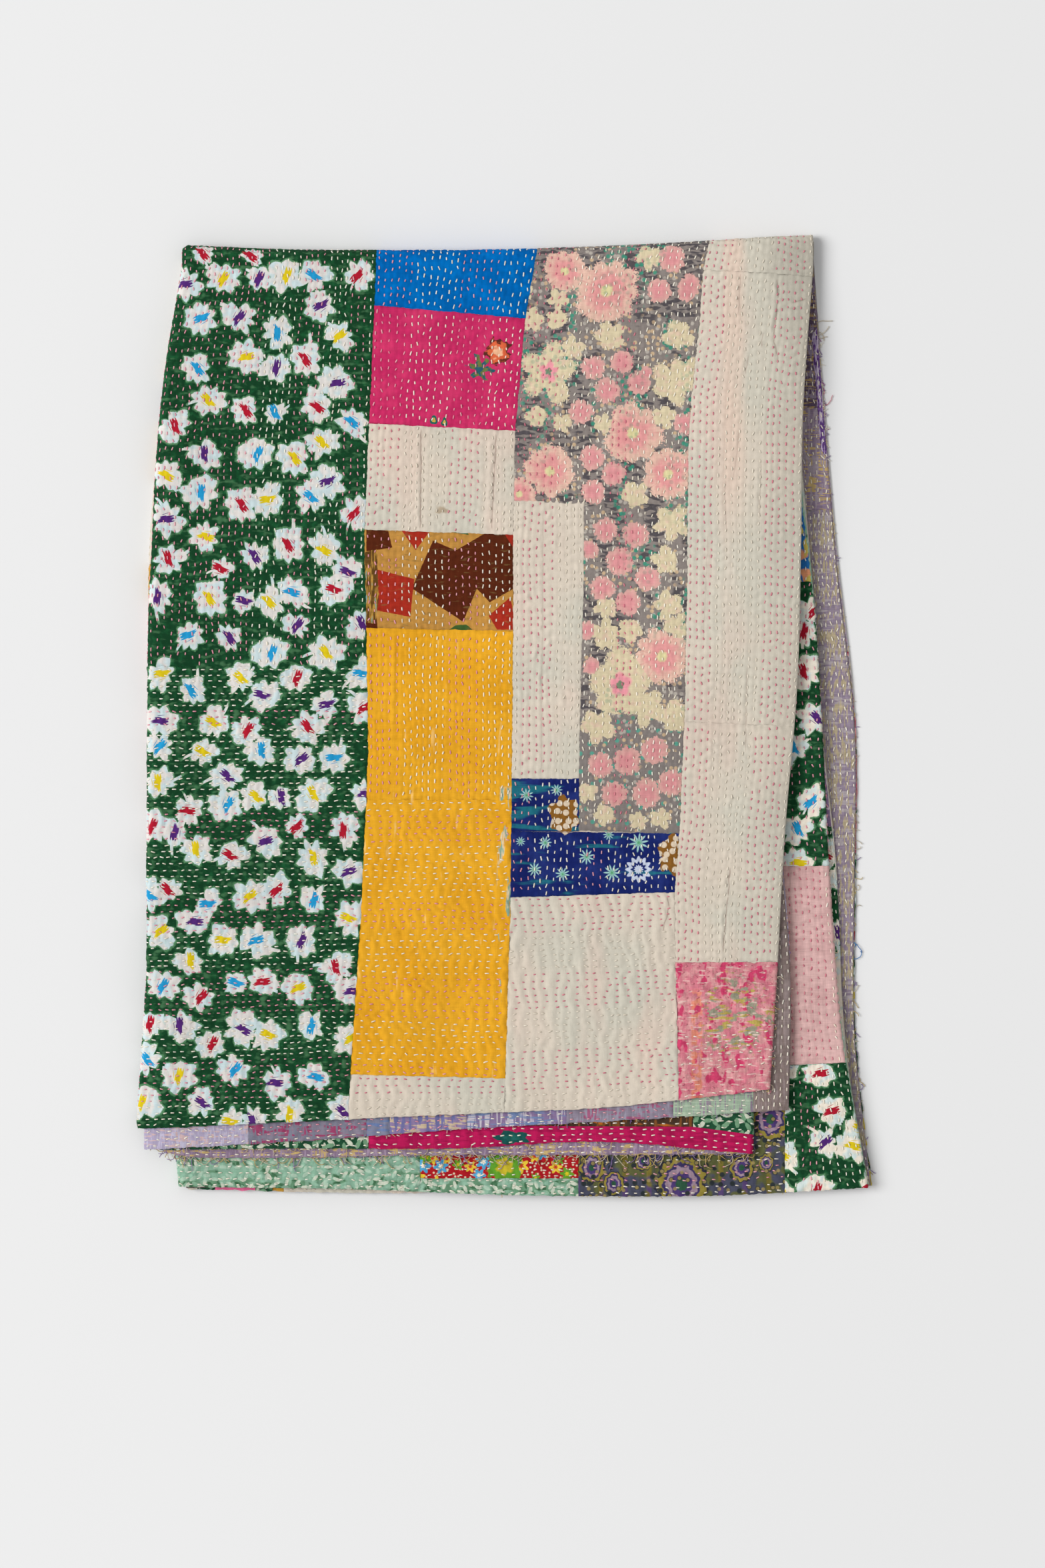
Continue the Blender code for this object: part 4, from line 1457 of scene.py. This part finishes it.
def floral_material(name, woven_below):
    """Faded blossoms on grey: pebbled, and below a given height woven with teal dots."""
    paint = Paint(name)
    patchy = paint.noise(0.030, 1.0, (1.5, 0.8), 19.0)
    blobs = paint.noise(0.0052, 1.0, (0.55, 1.5), 31.0)
    blobs = paint.step(blobs, 0.47, 0.56) * paint.step(patchy, 0.56, 0.46)
    ground = paint.mix(blobs, srgb(136, 127, 122), srgb(84, 79, 82))
    pebbles = paint.cells(0.0046, 1.0, (0.3, 0.2))
    pebble = paint.step(pebbles[2], 0.0020, 0.0012) * (pebbles[3][0] > 0.45) * paint.step(patchy, 0.40, 0.52)
    pebble_colour = paint.mix(pebbles[3][1] > 0.5, srgb(196, 170, 138), srgb(176, 168, 158))
    ground = paint.mix(pebble, ground, pebble_colour)
    woven_y = plan((0, woven_below))[1]
    woven = paint.step(paint.v + (paint.noise(0.02) - 0.5) * 0.02, woven_y + 0.004, woven_y - 0.004)
    dots = paint.cells(0.0105, 0.7, (0.7, 0.1))
    dotted = paint.mix(paint.step(dots[2], 0.0022, 0.0014), srgb(132, 124, 120), srgb(90, 156, 138))
    ground = paint.mix(woven * (1.0 - pebble), ground, dotted)
    x, y, radius, turn, kind, _ = paint.motif()
    across, length = paint.turned(x, y, turn)
    scalloped = paint.outline(across, length, radius, turn, 10.0, 0.13, False, 0.20)
    lobed = paint.outline(across, length, radius, turn, 5.0, 0.34, False, 0.34)
    big, small = kind < 0.5, (kind > 0.5) * (kind < 1.5)
    inside = paint.mixed(kind > 1.5, scalloped, lobed)
    mottled = paint.noise(0.006, 3.0, (1, 1), 43.0)
    cream = paint.mix(paint.step(mottled, 0.5, 0.7), srgb(212, 198, 164), srgb(216, 190, 166))
    petal = paint.step(inside + (mottled - 0.5) * 0.7, 0.15, 0.65)
    petal = paint.mix(petal, srgb(222, 184, 166), srgb(222, 152, 150))
    small_pink = paint.step(inside + (mottled - 0.5) * 0.5, 0.1, 0.7)
    small_pink = paint.mix(small_pink, srgb(214, 164, 156), srgb(216, 146, 148))
    flower = paint.mix(small, petal, small_pink)
    flower = paint.mix(kind > 1.5, flower, cream)
    eye = (kind > 2.5) * paint.step(inside, 0.62, 0.74)
    flower = paint.mix(eye, flower, srgb(230, 150, 160))
    flower = paint.mix((kind > 2.5) * paint.step(inside, 0.86, 0.90), flower, srgb(120, 136, 110))
    flower = paint.mix(big * paint.step(inside, 0.76, 0.86), flower, srgb(216, 206, 156))
    # Darker lines between the petals of the large flowers
    petal_line = paint.math("ABSOLUTE", paint.math("COSINE", paint.math("ARCTAN2", length, across) * 5.0))
    line = big * paint.step(petal_line, 0.22, 0.06) * paint.step(inside, 0.6, 0.2)
    flower = paint.mix(line * 0.35, flower, srgb(206, 122, 126))
    soft = inside + (paint.noise(0.0017, 1.0) - 0.5) * 0.36
    colour = paint.mix(paint.step(soft, 0.0, 0.06), ground, flower)
    patches_of_dots = paint.step(paint.noise(0.045, 1.0, (1.8, 0.5), 33.0), 0.54, 0.60)
    teal = paint.step(paint.cells(0.0062, 0.9, (0.1, 0.4))[2], 0.0021, 0.0013) * patches_of_dots
    on_flower = paint.step(soft, 0.0, 0.06)
    colour = paint.mix(teal * (1.0 - woven) * (0.9 - 0.62 * on_flower), colour, srgb(58, 142, 118))
    colour = paint.shade(colour, 1.0 - woven * 0.07)
    return paint.finish(colour, weave=0.10, fade=0.08, worn_ridges=0.10)


# Pixel column, row and the radius in metres
NAVY_STARS = (
    (790, 1193, 0.0066), (818, 1264, 0.0062), (880, 1285, 0.0074), (918, 1309, 0.0080), (958, 1264, 0.0092),
    (802, 1304, 0.0068), (844, 1311, 0.0068), (781, 1262, 0.0046), (913, 1252, 0.0052), (835, 1185, 0.0056),
)
GOLD_BLOBS = ((846, 1222, 0.0140), (1012, 1282, 0.0150))


def navy_material():
    paint = Paint("navy")
    colour = paint.mix(paint.step(paint.noise(0.02, 3.0), 0.4, 0.7), srgb(22, 34, 96), srgb(34, 48, 112))
    teal_left = paint.step(paint.u, plan((860, 0))[0], plan((790, 0))[0])
    streaks = paint.step(paint.noise(0.012, 3.0, (0.2, 1.4), 37.0) + teal_left * 0.07, 0.60, 0.72)
    colour = paint.mix(streaks * 0.8, colour, srgb(36, 116, 128))
    for column, row, radius in NAVY_STARS:
        centre_x, centre_y = plan((column, row))
        star = paint.flower(paint.u - centre_x, paint.v - centre_y, radius, 10, 0.72, column * 1.0)
        star_colour = paint.mix(paint.step(star, 0.62, 0.75), srgb(158, 200, 196), srgb(88, 160, 112))
        colour = paint.mix(paint.step(star, 0.05, 0.25), colour, star_colour)
    ring_x, ring_y = plan((958, 1304))
    ring = paint.flower(paint.u - ring_x, paint.v - ring_y, 0.0115, 12, 0.26, 0.0)
    band = paint.step(ring, 0.0, 0.08) * paint.step(ring, 0.46, 0.36)
    inner = paint.step(ring, 0.62, 0.70)
    colour = paint.mix(band + inner, colour, srgb(196, 204, 222))
    for column, row, radius in GOLD_BLOBS:
        centre_x, centre_y = plan((column, row))
        x, y = paint.u - centre_x, paint.v - centre_y
        blob = paint.flower(x, y * 0.8, radius, 6, 0.22, 0.4, 0.14)
        lobes = paint.cells(0.0068, 0.6, (0.4, 0.4))
        gold = paint.mix(paint.step(lobes[2], 0.0029, 0.0021), srgb(134, 90, 36), srgb(214, 196, 172))
        colour = paint.mix(paint.step(blob, 0.0, 0.05), colour, gold)
    return paint.finish(colour, weave=0.10)


def worn_pink_material():
    paint = Paint("worn_pink")
    patchy = paint.step(paint.noise(0.010, 3.0), 0.4, 0.6)
    colour = paint.mix(patchy, srgb(206, 120, 134), srgb(214, 150, 152))
    blotch = paint.noise(0.0085, 2.0, (0.9, 0.6), 47.0)
    blotch = blotch + paint.step(paint.v, plan((0, 1462))[1], plan((0, 1446))[1]) * 0.06
    colour = paint.mix(paint.step(blotch, 0.57, 0.63), colour, srgb(200, 66, 104))
    centre_x, centre_y = plan((1105, 1525))
    x, y = paint.u - centre_x, paint.v - centre_y
    region = paint.step(paint.flower(x, y, 0.038, 3, 0.2, 0.2, 0.5), 0.0, 0.3)
    holes = paint.step(paint.noise(0.009, 3.0, (0.7, 1.0), 51.0), 0.50, 0.58) * region
    colour = paint.mix(holes, colour, srgb(148, 146, 126))
    gold = paint.step(paint.noise(0.005, 2.0, (0.4, 1.6), 57.0), 0.56, 0.64) * region
    colour = paint.mix(gold, colour, srgb(178, 158, 84))
    peach_x = plan((1045, 0))[0]
    peach = paint.step(paint.math("ABSOLUTE", paint.u - peach_x), 0.0055, 0.0035)
    peach = peach * paint.step(paint.noise(0.006, 2.0), 0.42, 0.54)
    peach = peach * paint.step(paint.v, plan((0, 1480))[1], plan((0, 1492))[1])
    colour = paint.mix(peach * 0.8, colour, srgb(218, 134, 104))
    frayed = paint.step(paint.noise(0.003, 1.0, (0.3, 1.4), 63.0), 0.64, 0.70)
    colour = paint.mix(frayed * 0.7, colour, srgb(226, 196, 186))
    return paint.finish(colour, weave=0.14, bump=0.0009, fade=0.12)


def streaked_material(name, colours, size=(0.004, 0.003), stretch=(0.25, 1.4), spots=(), **finish):
    """Cloths of mixed threads: each further colour comes in as short dashes, in turn along and across."""
    paint = Paint(name)
    colour = colours[0]
    for number, other in enumerate(colours[1:]):
        direction = stretch if number % 2 == 0 else stretch[::-1]
        dash = paint.noise(size[number % len(size)], 1.0, direction, 60.0 + 7 * number)
        patchy = paint.noise(0.02, 1.0, (1, 1), 80.0 + 5 * number)
        colour = paint.mix(paint.step(dash + (patchy - 0.5) * 0.5, 0.52, 0.60), colour, other)
    return paint.finish(paint.spots(colour, spots), **finish)


MINT_ROWS = (1788, 1756)


def leaf_material(name, ground, leaves, size=0.0085, slender=0.22, faded=None):
    """Small leaves thrown every way, one layer of them for each colour, faded more in the upper rows."""
    paint = Paint(name)
    colour = ground
    for number, leaf in enumerate(leaves):
        x, y, _, (_, two, _) = paint.cells(size, 0.9, (0.11 + 0.07 * number, 0.05))
        across, length = paint.turned(x, y, two * 6.283)
        wide, long = (size * slender) ** 2, (size * 0.50) ** 2
        inside = 1.0 - paint.math("SQRT", across * across / wide + length * length / long)
        inside = inside + (paint.noise(0.002, 1.0) - 0.5) * 0.5
        colour = paint.mix(paint.step(inside, -0.05, 0.12), colour, leaf)
    if faded:
        low, high = (plan((0, row))[1] for row in MINT_ROWS)
        patchy = paint.noise(0.011, 3.0, (0.6, 1.2), 31.0) + paint.step(paint.v, low, high) * 0.16
        colour = paint.mix(paint.step(patchy, 0.50, 0.64) * 0.7, colour, faded)
    return paint.finish(colour, weave=0.12, worn_ridges=0.2)


def dotted_flowers_material(name, ground, flowers, size, radius, spots):
    paint = Paint(name)
    flecks = paint.cells(0.0042, 1.0, (0.2, 0.6))
    colour = paint.mix(paint.step(flecks[2], 0.0011, 0.0006), ground, srgb(214, 200, 170))
    for number, (petal, centre) in enumerate(flowers):
        inside = paint.blossoms(size, radius, 6, 0.45, 0.55, 0.8, (0.03 * number, 0.05 * number))
        colour = paint.mix(paint.step(inside, 0.0, 0.08), colour, petal)
        colour = paint.mix(paint.step(inside, 0.62, 0.7), colour, centre)
    return paint.finish(paint.spots(colour, spots), weave=0.10, worn_ridges=0.2)


MEDALLIONS = (
    ((1023, 1777), 0.0230), ((1156, 1679), 0.0170), ((1113, 1752), 0.0110), ((921, 1776), 0.0095),
    ((888, 1752), 0.0120), ((965, 1742), 0.0080), ((1150, 1745), 0.0070),
)
MEDALLION_RINGS = (
    (0.0, srgb(44, 44, 58)), (0.10, srgb(140, 126, 56)), (0.28, srgb(58, 50, 92)),
    (0.40, srgb(150, 128, 142)), (0.58, srgb(74, 56, 108)), (0.76, srgb(46, 82, 62)),
)

MEDALLION_STRIPE = 18 * METRES_PER_PIXEL


def paisley_material():
    paint = Paint("paisley")
    band = paint.step(paint.noise(0.02, 2.0, (1, 1), 71.0), 0.45, 0.55)
    colour = paint.mix(band, srgb(84, 66, 108), srgb(112, 102, 46))
    stripe = paint.step(paint.math("PINGPONG", paint.u, MEDALLION_STRIPE), 0.0018, 0.0024)
    colour = paint.mix(stripe * 0.5, colour, srgb(52, 78, 64))
    for (column, row), radius in MEDALLIONS:
        centre_x, centre_y = plan((column, row))
        inside = paint.flower(paint.u - centre_x, (paint.v - centre_y) * 0.85, radius, 9, 0.10, 0.3, 0.16)
        for share, ring in MEDALLION_RINGS:
            colour = paint.mix(paint.step(inside, share, share + 0.05), colour, ring)
    small = paint.cells(0.0072, 0.9, (0.2, 0.2))
    dark = paint.step(small[2], 0.0026, 0.0016) * (small[3][0] > 0.5)
    colour = paint.mix(dark, colour, srgb(44, 50, 52))
    pale = paint.step(small[2], 0.0018, 0.0012) * (small[3][1] > 0.5)
    colour = paint.mix(pale * 0.8, colour, srgb(152, 134, 84))
    return paint.finish(colour, weave=0.14, fade=0.15, worn_ridges=0.2)


def thread_material(name, colour, other):
    paint = Paint(name)
    tone = paint.mix(paint.step(paint.noise(0.004, 1.0), 0.4, 0.6), colour, other)
    return paint.finish(tone, weave=0.02, bump=0.0001, worn_ridges=0.0)


# The colours of the cloths of mixed threads, and how they differ from the usual
STRIPED, UPRIGHT = (2.0, 0.15), (1.0, 0.3)
STREAKED = {
    "lavender": ("166,156,182 200,172,172 184,178,198", {"size": (0.0022, 0.0018)}),
    "grey_magenta": ("130,122,138 150,64,100 120,120,136", {}),
    "grey_blue": ("124,126,148 104,122,164", {}),
    "purple_gold": ("140,122,160 196,176,150 112,112,160", {"size": (0.003, 0.004)}),
    "mauve_stripe": ("132,112,148 196,188,196 110,130,170", {"stretch": STRIPED}),
    "grey_mauve": ("138,128,144 160,90,122 148,142,158", {}),
    "mint_stripe": ("152,172,150 142,124,142 168,184,162", {"stretch": STRIPED}),
    "taupe": ("132,116,112 148,132,130", {"stretch": STRIPED, "weave": 0.14}),
    "magenta_band": ("178,26,82 160,22,74", {"weave": 0.12, "worn_ridges": 0.2, "spots": (
        ((768, 1706), 0.0065, 5, 0.3, 2.6, srgb(24, 76, 72), srgb(30, 92, 84)),
    )}),
    "purple_fray": ("134,114,136 192,166,112 156,136,156", {"size": (0.003, 0.0025)}),
    "mustard": ("190,144,60 150,108,46", {"stretch": UPRIGHT}),
    "dark_purple": ("58,46,58 80,66,84", {}),
    "orange": ("70,52,40 196,112,36 120,76,40", {"size": (0.012, 0.004)}),
    "purple": ("92,60,122 120,88,148 196,180,202", {"size": (0.003, 0.0024)}),
    "pink_mauve": ("176,136,158 190,160,110 206,176,190", {}),
    "lilac_dots": ("134,110,144 214,196,206 150,124,160", {"size": (0.006, 0.003), "stretch": (1.0, 0.8)}),
    "blue_peach": ("40,104,168 222,150,110 200,180,90", {"size": (0.014, 0.01), "stretch": (0.6, 1.2)}),
    "brocade": ("92,76,96 168,142,100 136,122,140", {"size": (0.0024, 0.0022), "weave": 0.2}),
    "gold_mauve": ("140,122,142 190,164,112 160,146,156", {"size": (0.0024, 0.003), "weave": 0.2}),
    "mauve_gold": ("140,126,142 164,154,158 172,158,130", {"size": (0.004, 0.0024), "weave": 0.2}),
}
THREADS = {
    "white": "248,242,228 240,230,210", "pink": "222,140,152 212,122,140", "ivory": "232,223,207 224,214,197",
    "rose": "236,172,182 228,152,168", "cream": "222,210,186 206,190,164", "gold": "196,166,104 214,190,130",
    "purple": "130,100,158 160,138,178", "magenta": "176,96,160 150,80,150", "green": "36,84,50 60,110,70",
    "blue": "40,110,180 60,130,190",
}


def tones(words):
    """Colours written as red,green,blue words."""
    return tuple(srgb(*map(int, word.split(","))) for word in words.split())


def all_materials():
    made = {
        "daisy": daisy_material(),
        "daisy_yellowed": daisy_material("daisy_yellowed", srgb(232, 222, 206)),
        "magenta": magenta_material(),
        "cream": cream_material(),
        "angular": angular_material(),
        "yellow": yellow_material(),
        "floral": floral_material("floral", 2000),
        "floral_teal": floral_material("floral_teal", 1075),
        "navy": navy_material(),
        "worn_pink": worn_pink_material(),
        "leaf": leaf_material("leaf", srgb(32, 74, 50), tones("196,200,182 112,150,118")),
        "mint_leaf": leaf_material(
            "mint_leaf", srgb(98, 138, 108), tones("64,104,74 130,166,140 196,202,184"), 0.0068, 0.22,
            srgb(144, 182, 160)
        ),
        "red_floral": dotted_flowers_material(
            "red_floral", srgb(168, 26, 34),
            (tones("222,190,60 190,60,40"), tones("80,160,200 230,220,200"), tones("96,152,44 210,190,40")),
            0.017, 0.0058,
            spots=(((757, 1750), 0.0165, 6, 0.25, 1.0, srgb(92, 150, 44), srgb(196, 178, 48)),),
        ),
        "paisley": paisley_material(),
        "blue": plain_material("blue", "0,94,168 0,108,186", weave=0.08, sheen=0.0, worn_ridges=0.2),
        "bright_pink": plain_material("bright_pink", "232,120,158 222,104,146"),
        "pale_pink": plain_material("pale_pink", "214,175,171 204,163,160", weave=0.14, worn_ridges=0.14),
    }
    for name, (colours, look) in STREAKED.items():
        made[name] = streaked_material(name, tones(colours), **look)
    for name, colours in THREADS.items():
        made[f"{name}_thread"] = thread_material(f"{name}_thread", *tones(colours))
    return made


MATERIALS = {}
DAISY_MOTIFS = placed_daisies()
BLOSSOM_MOTIFS = placed_blossoms()


PALE_PRINTS = ("cream", "pale_pink", "floral", "floral_teal", "worn_pink")


def make_patches():
    """Every field's cloth and its stitches, gathered by piece."""
    cloths, stitches = {}, {}
    for number, field in enumerate(FIELDS):
        patch = Patch(field, number)
        points, faces, uvs, extras = grid_mesh(patch)
        cloths.setdefault(field.piece, Bag()).add(points, faces, uvs, extras, MATERIALS[field.print])
        r, q, thread = stitch_rows(patch)
        rng = np.random.default_rng(patch.seed + 80)
        name = field.piece.replace("_patches", "").replace("_patch", "") + "_stitches"
        bag = stitches.setdefault(name, Bag())
        on_pale = field.print in PALE_PRINTS
        plain = ("ivory_thread", WHITE_LONGER) if field.print == "cream" else ("white_thread", WHITE_LONGER)
        pink = ("pink_thread" if on_pale else "rose_thread", 1.0 if on_pale else 1.15)
        for kind, (material, longer) in enumerate((plain, pink)):
            chosen = thread == kind
            if chosen.any():
                bag.add(*stitch_mesh(patch, r[chosen], q[chosen], rng, longer), MATERIALS[material])
    made = [bag.make(name) for name, bag in {**cloths, **stitches}.items()] + [make_loose_threads()]
    for piece in made:
        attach(piece, "root")
    return made


COLUMNS_PER_QUARTER = 40
ROWS_PER_HALF = 56
BEND_STEPS = 8
FAR_STEPS = 16
PATCHED_PRINTS = {"first": "cream", "second": "mint_leaf", "third": "magenta_band", "last": "daisy_yellowed"}
LINING_PRINTS = {"first": "mauve_gold", "second": "purple_fray", "third": "taupe", "last": "lavender"}


def flat_points(key, across, down, skin):
    quarter = QUARTERS[key]
    left = along(quarter.left, down)
    right = along(quarter.right, down)
    x = left + (right - left) * across
    start = fold_start(x)
    y = start + (hem_y(key, across) - start) * down
    return np.stack([x, y, height(key, x, y) + skin * quarter.faces_up * BASE_HALF], axis=-1)


def bent(above, below, share, outward):
    radius = np.abs(above[..., 2:] - below[..., 2:]) / 2
    point = above + (below - above) * (1 - math.cos(math.pi * share)) / 2
    return point + np.array(outward) * radius * math.sin(math.pi * share)


def base_skin(skin):
    """Columns of one face of the whole cloth, each running from hem to hem, and each column's quarter."""
    places = (1 - np.cos(np.linspace(0, math.pi, COLUMNS_PER_QUARTER + 1))) / 2
    down = np.linspace(0, 1, ROWS_PER_HALF + 1)

    def column(name, across):
        front = flat_points((name, "front"), np.full_like(down, across), down, skin)
        back = flat_points((name, "back"), np.full_like(down, across), down, skin)
        return front, back

    columns = [(name_place, column("first", name_place)) for name_place in places[::-1]]
    quarters = ["first"] * len(places)
    runs = [pair for _, pair in columns]
    for start, end, across in (("first", "second", 0.0), ("second", "third", 1.0), ("third", "last", 0.0)):
        outward = (-1, 0, 0) if across == 0 else (1, 0, 0)
        before, after = column(start, across), column(end, across)
        for step in range(1, BEND_STEPS):
            runs.append(tuple(bent(b, a, step / BEND_STEPS, outward) for b, a in zip(before, after)))
            quarters.append(start)
        for place in places if across == 0 else places[::-1]:
            runs.append(column(end, place))
            quarters.append(end)
    whole = []
    for front, back in runs:
        turn = [bent(front[0], back[0], step / FAR_STEPS, (0, 1, 0)) for step in range(1, FAR_STEPS)]
        whole.append(np.concatenate([front[::-1], turn, back]))
    return np.stack(whole), quarters


def make_base():
    """The inner cloth: one thin closed sheet on the solid's folds."""
    patched, quarters = base_skin(1)
    lining, _ = base_skin(-1)
    count, rows = patched.shape[:2]
    index = np.arange(count * rows).reshape(count, rows)
    other = index + count * rows
    names = sorted(set(PATCHED_PRINTS.values()) | set(LINING_PRINTS.values()))
    materials = [MATERIALS[name] for name in names]

    def quads(grid):
        a, b, c, d = grid[:-1, :-1], grid[1:, :-1], grid[1:, 1:], grid[:-1, 1:]
        return np.stack([b, a, d, c], axis=-1).reshape(-1, 4)

    faces = [quads(index)[:, ::-1], quads(other)]
    slots = [
        np.repeat([names.index(PATCHED_PRINTS[q]) for q in quarters[:-1]], rows - 1),
        np.repeat([names.index(LINING_PRINTS[q]) for q in quarters[:-1]], rows - 1),
    ]
    rims = (
        (index[:, 0], other[:, 0]), (other[:, -1], index[:, -1]),
        (other[0], index[0]), (index[-1], other[-1]),
    )
    for one, two in rims:
        faces.append(np.stack([one[:-1], one[1:], two[1:], two[:-1]], axis=-1))
        slots.append(np.full(len(one) - 1, names.index("cream")))
    points = np.concatenate([patched.reshape(-1, 3), lining.reshape(-1, 3)])
    # Print coordinates: lengths along the cloth
    across = np.zeros((count, rows))
    across[1:] = np.cumsum(np.linalg.norm(np.diff(patched, axis=0), axis=-1), axis=0)
    down = np.zeros((count, rows))
    down[:, 1:] = np.cumsum(np.linalg.norm(np.diff(patched, axis=1), axis=-1), axis=1)
    uvs = np.stack([across.mean(axis=1)[:, None] + 0 * down, down], axis=-1).reshape(-1, 2)
    faces, uvs, slots = np.concatenate(faces), np.concatenate([uvs, uvs]), np.concatenate(slots)
    base = new_object("quilt_cloth", points, faces, uvs, slots, materials)
    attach(base, "root")
    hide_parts("quilt")
    return base


# Painted light: the floor's colour is paler on the left, where the light comes from, and darker on the right
FLOOR_PAINTED_LIGHT_LEFT, FLOOR_PAINTED_LIGHT_RIGHT = 0.836, 0.787  # how pale the floor is on the two sides of the quilt
FLOOR_SHADE_REACH = 0.42
FLOOR_DROP = 0.0004
ROOM_LIGHT = 0.50
SUN_ANGLE, SUN_ENERGY = 34, 2.52
SUN_PLACE = (-4.5, 0.45, 3.9)
CAMERA_DISTANCE = 5.0
STACK_MIDDLE = 0.015  # the height at which a pixel is METRES_PER_PIXEL wide


def make_stage():
    """A pale floor, painted paler on the left and darker on the right as the light falls off, a soft light
    from the left and the face-on camera.
    """
    scene = bpy.context.scene
    bpy.ops.mesh.primitive_plane_add(size=30, location=(0, 0, -FLOOR_DROP))
    floor = bpy.context.object
    floor.name = "floor"
    paint = bpy.data.materials.new("floor_painted_light")
    paint.use_nodes = True
    nodes, links = paint.node_tree.nodes, paint.node_tree.links
    place = nodes.new("ShaderNodeTexCoord")
    split = nodes.new("ShaderNodeSeparateXYZ")
    links.new(place.outputs["Object"], split.inputs[0])
    # Painted light: the floor's colour goes from paler on the left to darker on the right
    shade = nodes.new("ShaderNodeMapRange")
    links.new(split.outputs["X"], shade.inputs["Value"])
    values = (-FLOOR_SHADE_REACH, FLOOR_SHADE_REACH, FLOOR_PAINTED_LIGHT_LEFT, FLOOR_PAINTED_LIGHT_RIGHT)
    for name, value in zip(("From Min", "From Max", "To Min", "To Max"), values):
        shade.inputs[name].default_value = value
    shader = nodes["Principled BSDF"]
    links.new(shade.outputs["Result"], shader.inputs["Base Color"])
    shader.inputs["Roughness"].default_value = 0.9
    shader.inputs["Specular IOR Level"].default_value = 0.1
    floor.data.materials.append(paint)

    world = bpy.data.worlds.new("studio")
    world.use_nodes = True
    background = world.node_tree.nodes["Background"]
    background.inputs["Color"].default_value = (1.0, 1.0, 1.0, 1)
    background.inputs["Strength"].default_value = ROOM_LIGHT
    scene.world = world

    light = bpy.data.lights.new("window", "SUN")
    light.angle = math.radians(SUN_ANGLE)
    light.energy = SUN_ENERGY
    lamp = bpy.data.objects.new("window", light)
    lamp.location = SUN_PLACE
    lamp.rotation_euler = (-lamp.location).to_track_quat("-Z", "Y").to_euler()
    scene.collection.objects.link(lamp)

    camera = bpy.data.cameras.new("camera")
    camera.sensor_fit = "HORIZONTAL"
    camera.sensor_width = 36
    camera.lens = camera.sensor_width * CAMERA_DISTANCE / (FRAME_PIXELS[0] * METRES_PER_PIXEL)
    camera.clip_end = 100
    eye = bpy.data.objects.new("camera", camera)
    aim_x, aim_y = plan((FRAME_PIXELS[0] / 2, FRAME_PIXELS[1] / 2))
    eye.location = (aim_x + CENTRING[0], aim_y + CENTRING[1], CAMERA_DISTANCE + STACK_MIDDLE)
    scene.collection.objects.link(eye)
    scene.camera = eye
    scene.view_settings.view_transform = "Standard"


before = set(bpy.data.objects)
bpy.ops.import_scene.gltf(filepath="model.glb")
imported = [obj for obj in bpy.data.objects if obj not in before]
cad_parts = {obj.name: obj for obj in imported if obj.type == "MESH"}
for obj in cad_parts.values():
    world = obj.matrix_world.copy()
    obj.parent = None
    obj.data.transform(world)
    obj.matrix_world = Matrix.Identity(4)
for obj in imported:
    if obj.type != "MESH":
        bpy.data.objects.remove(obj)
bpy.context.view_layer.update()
make_stage()
MATERIALS.update(all_materials())
cloth = make_base()
others = make_patches()
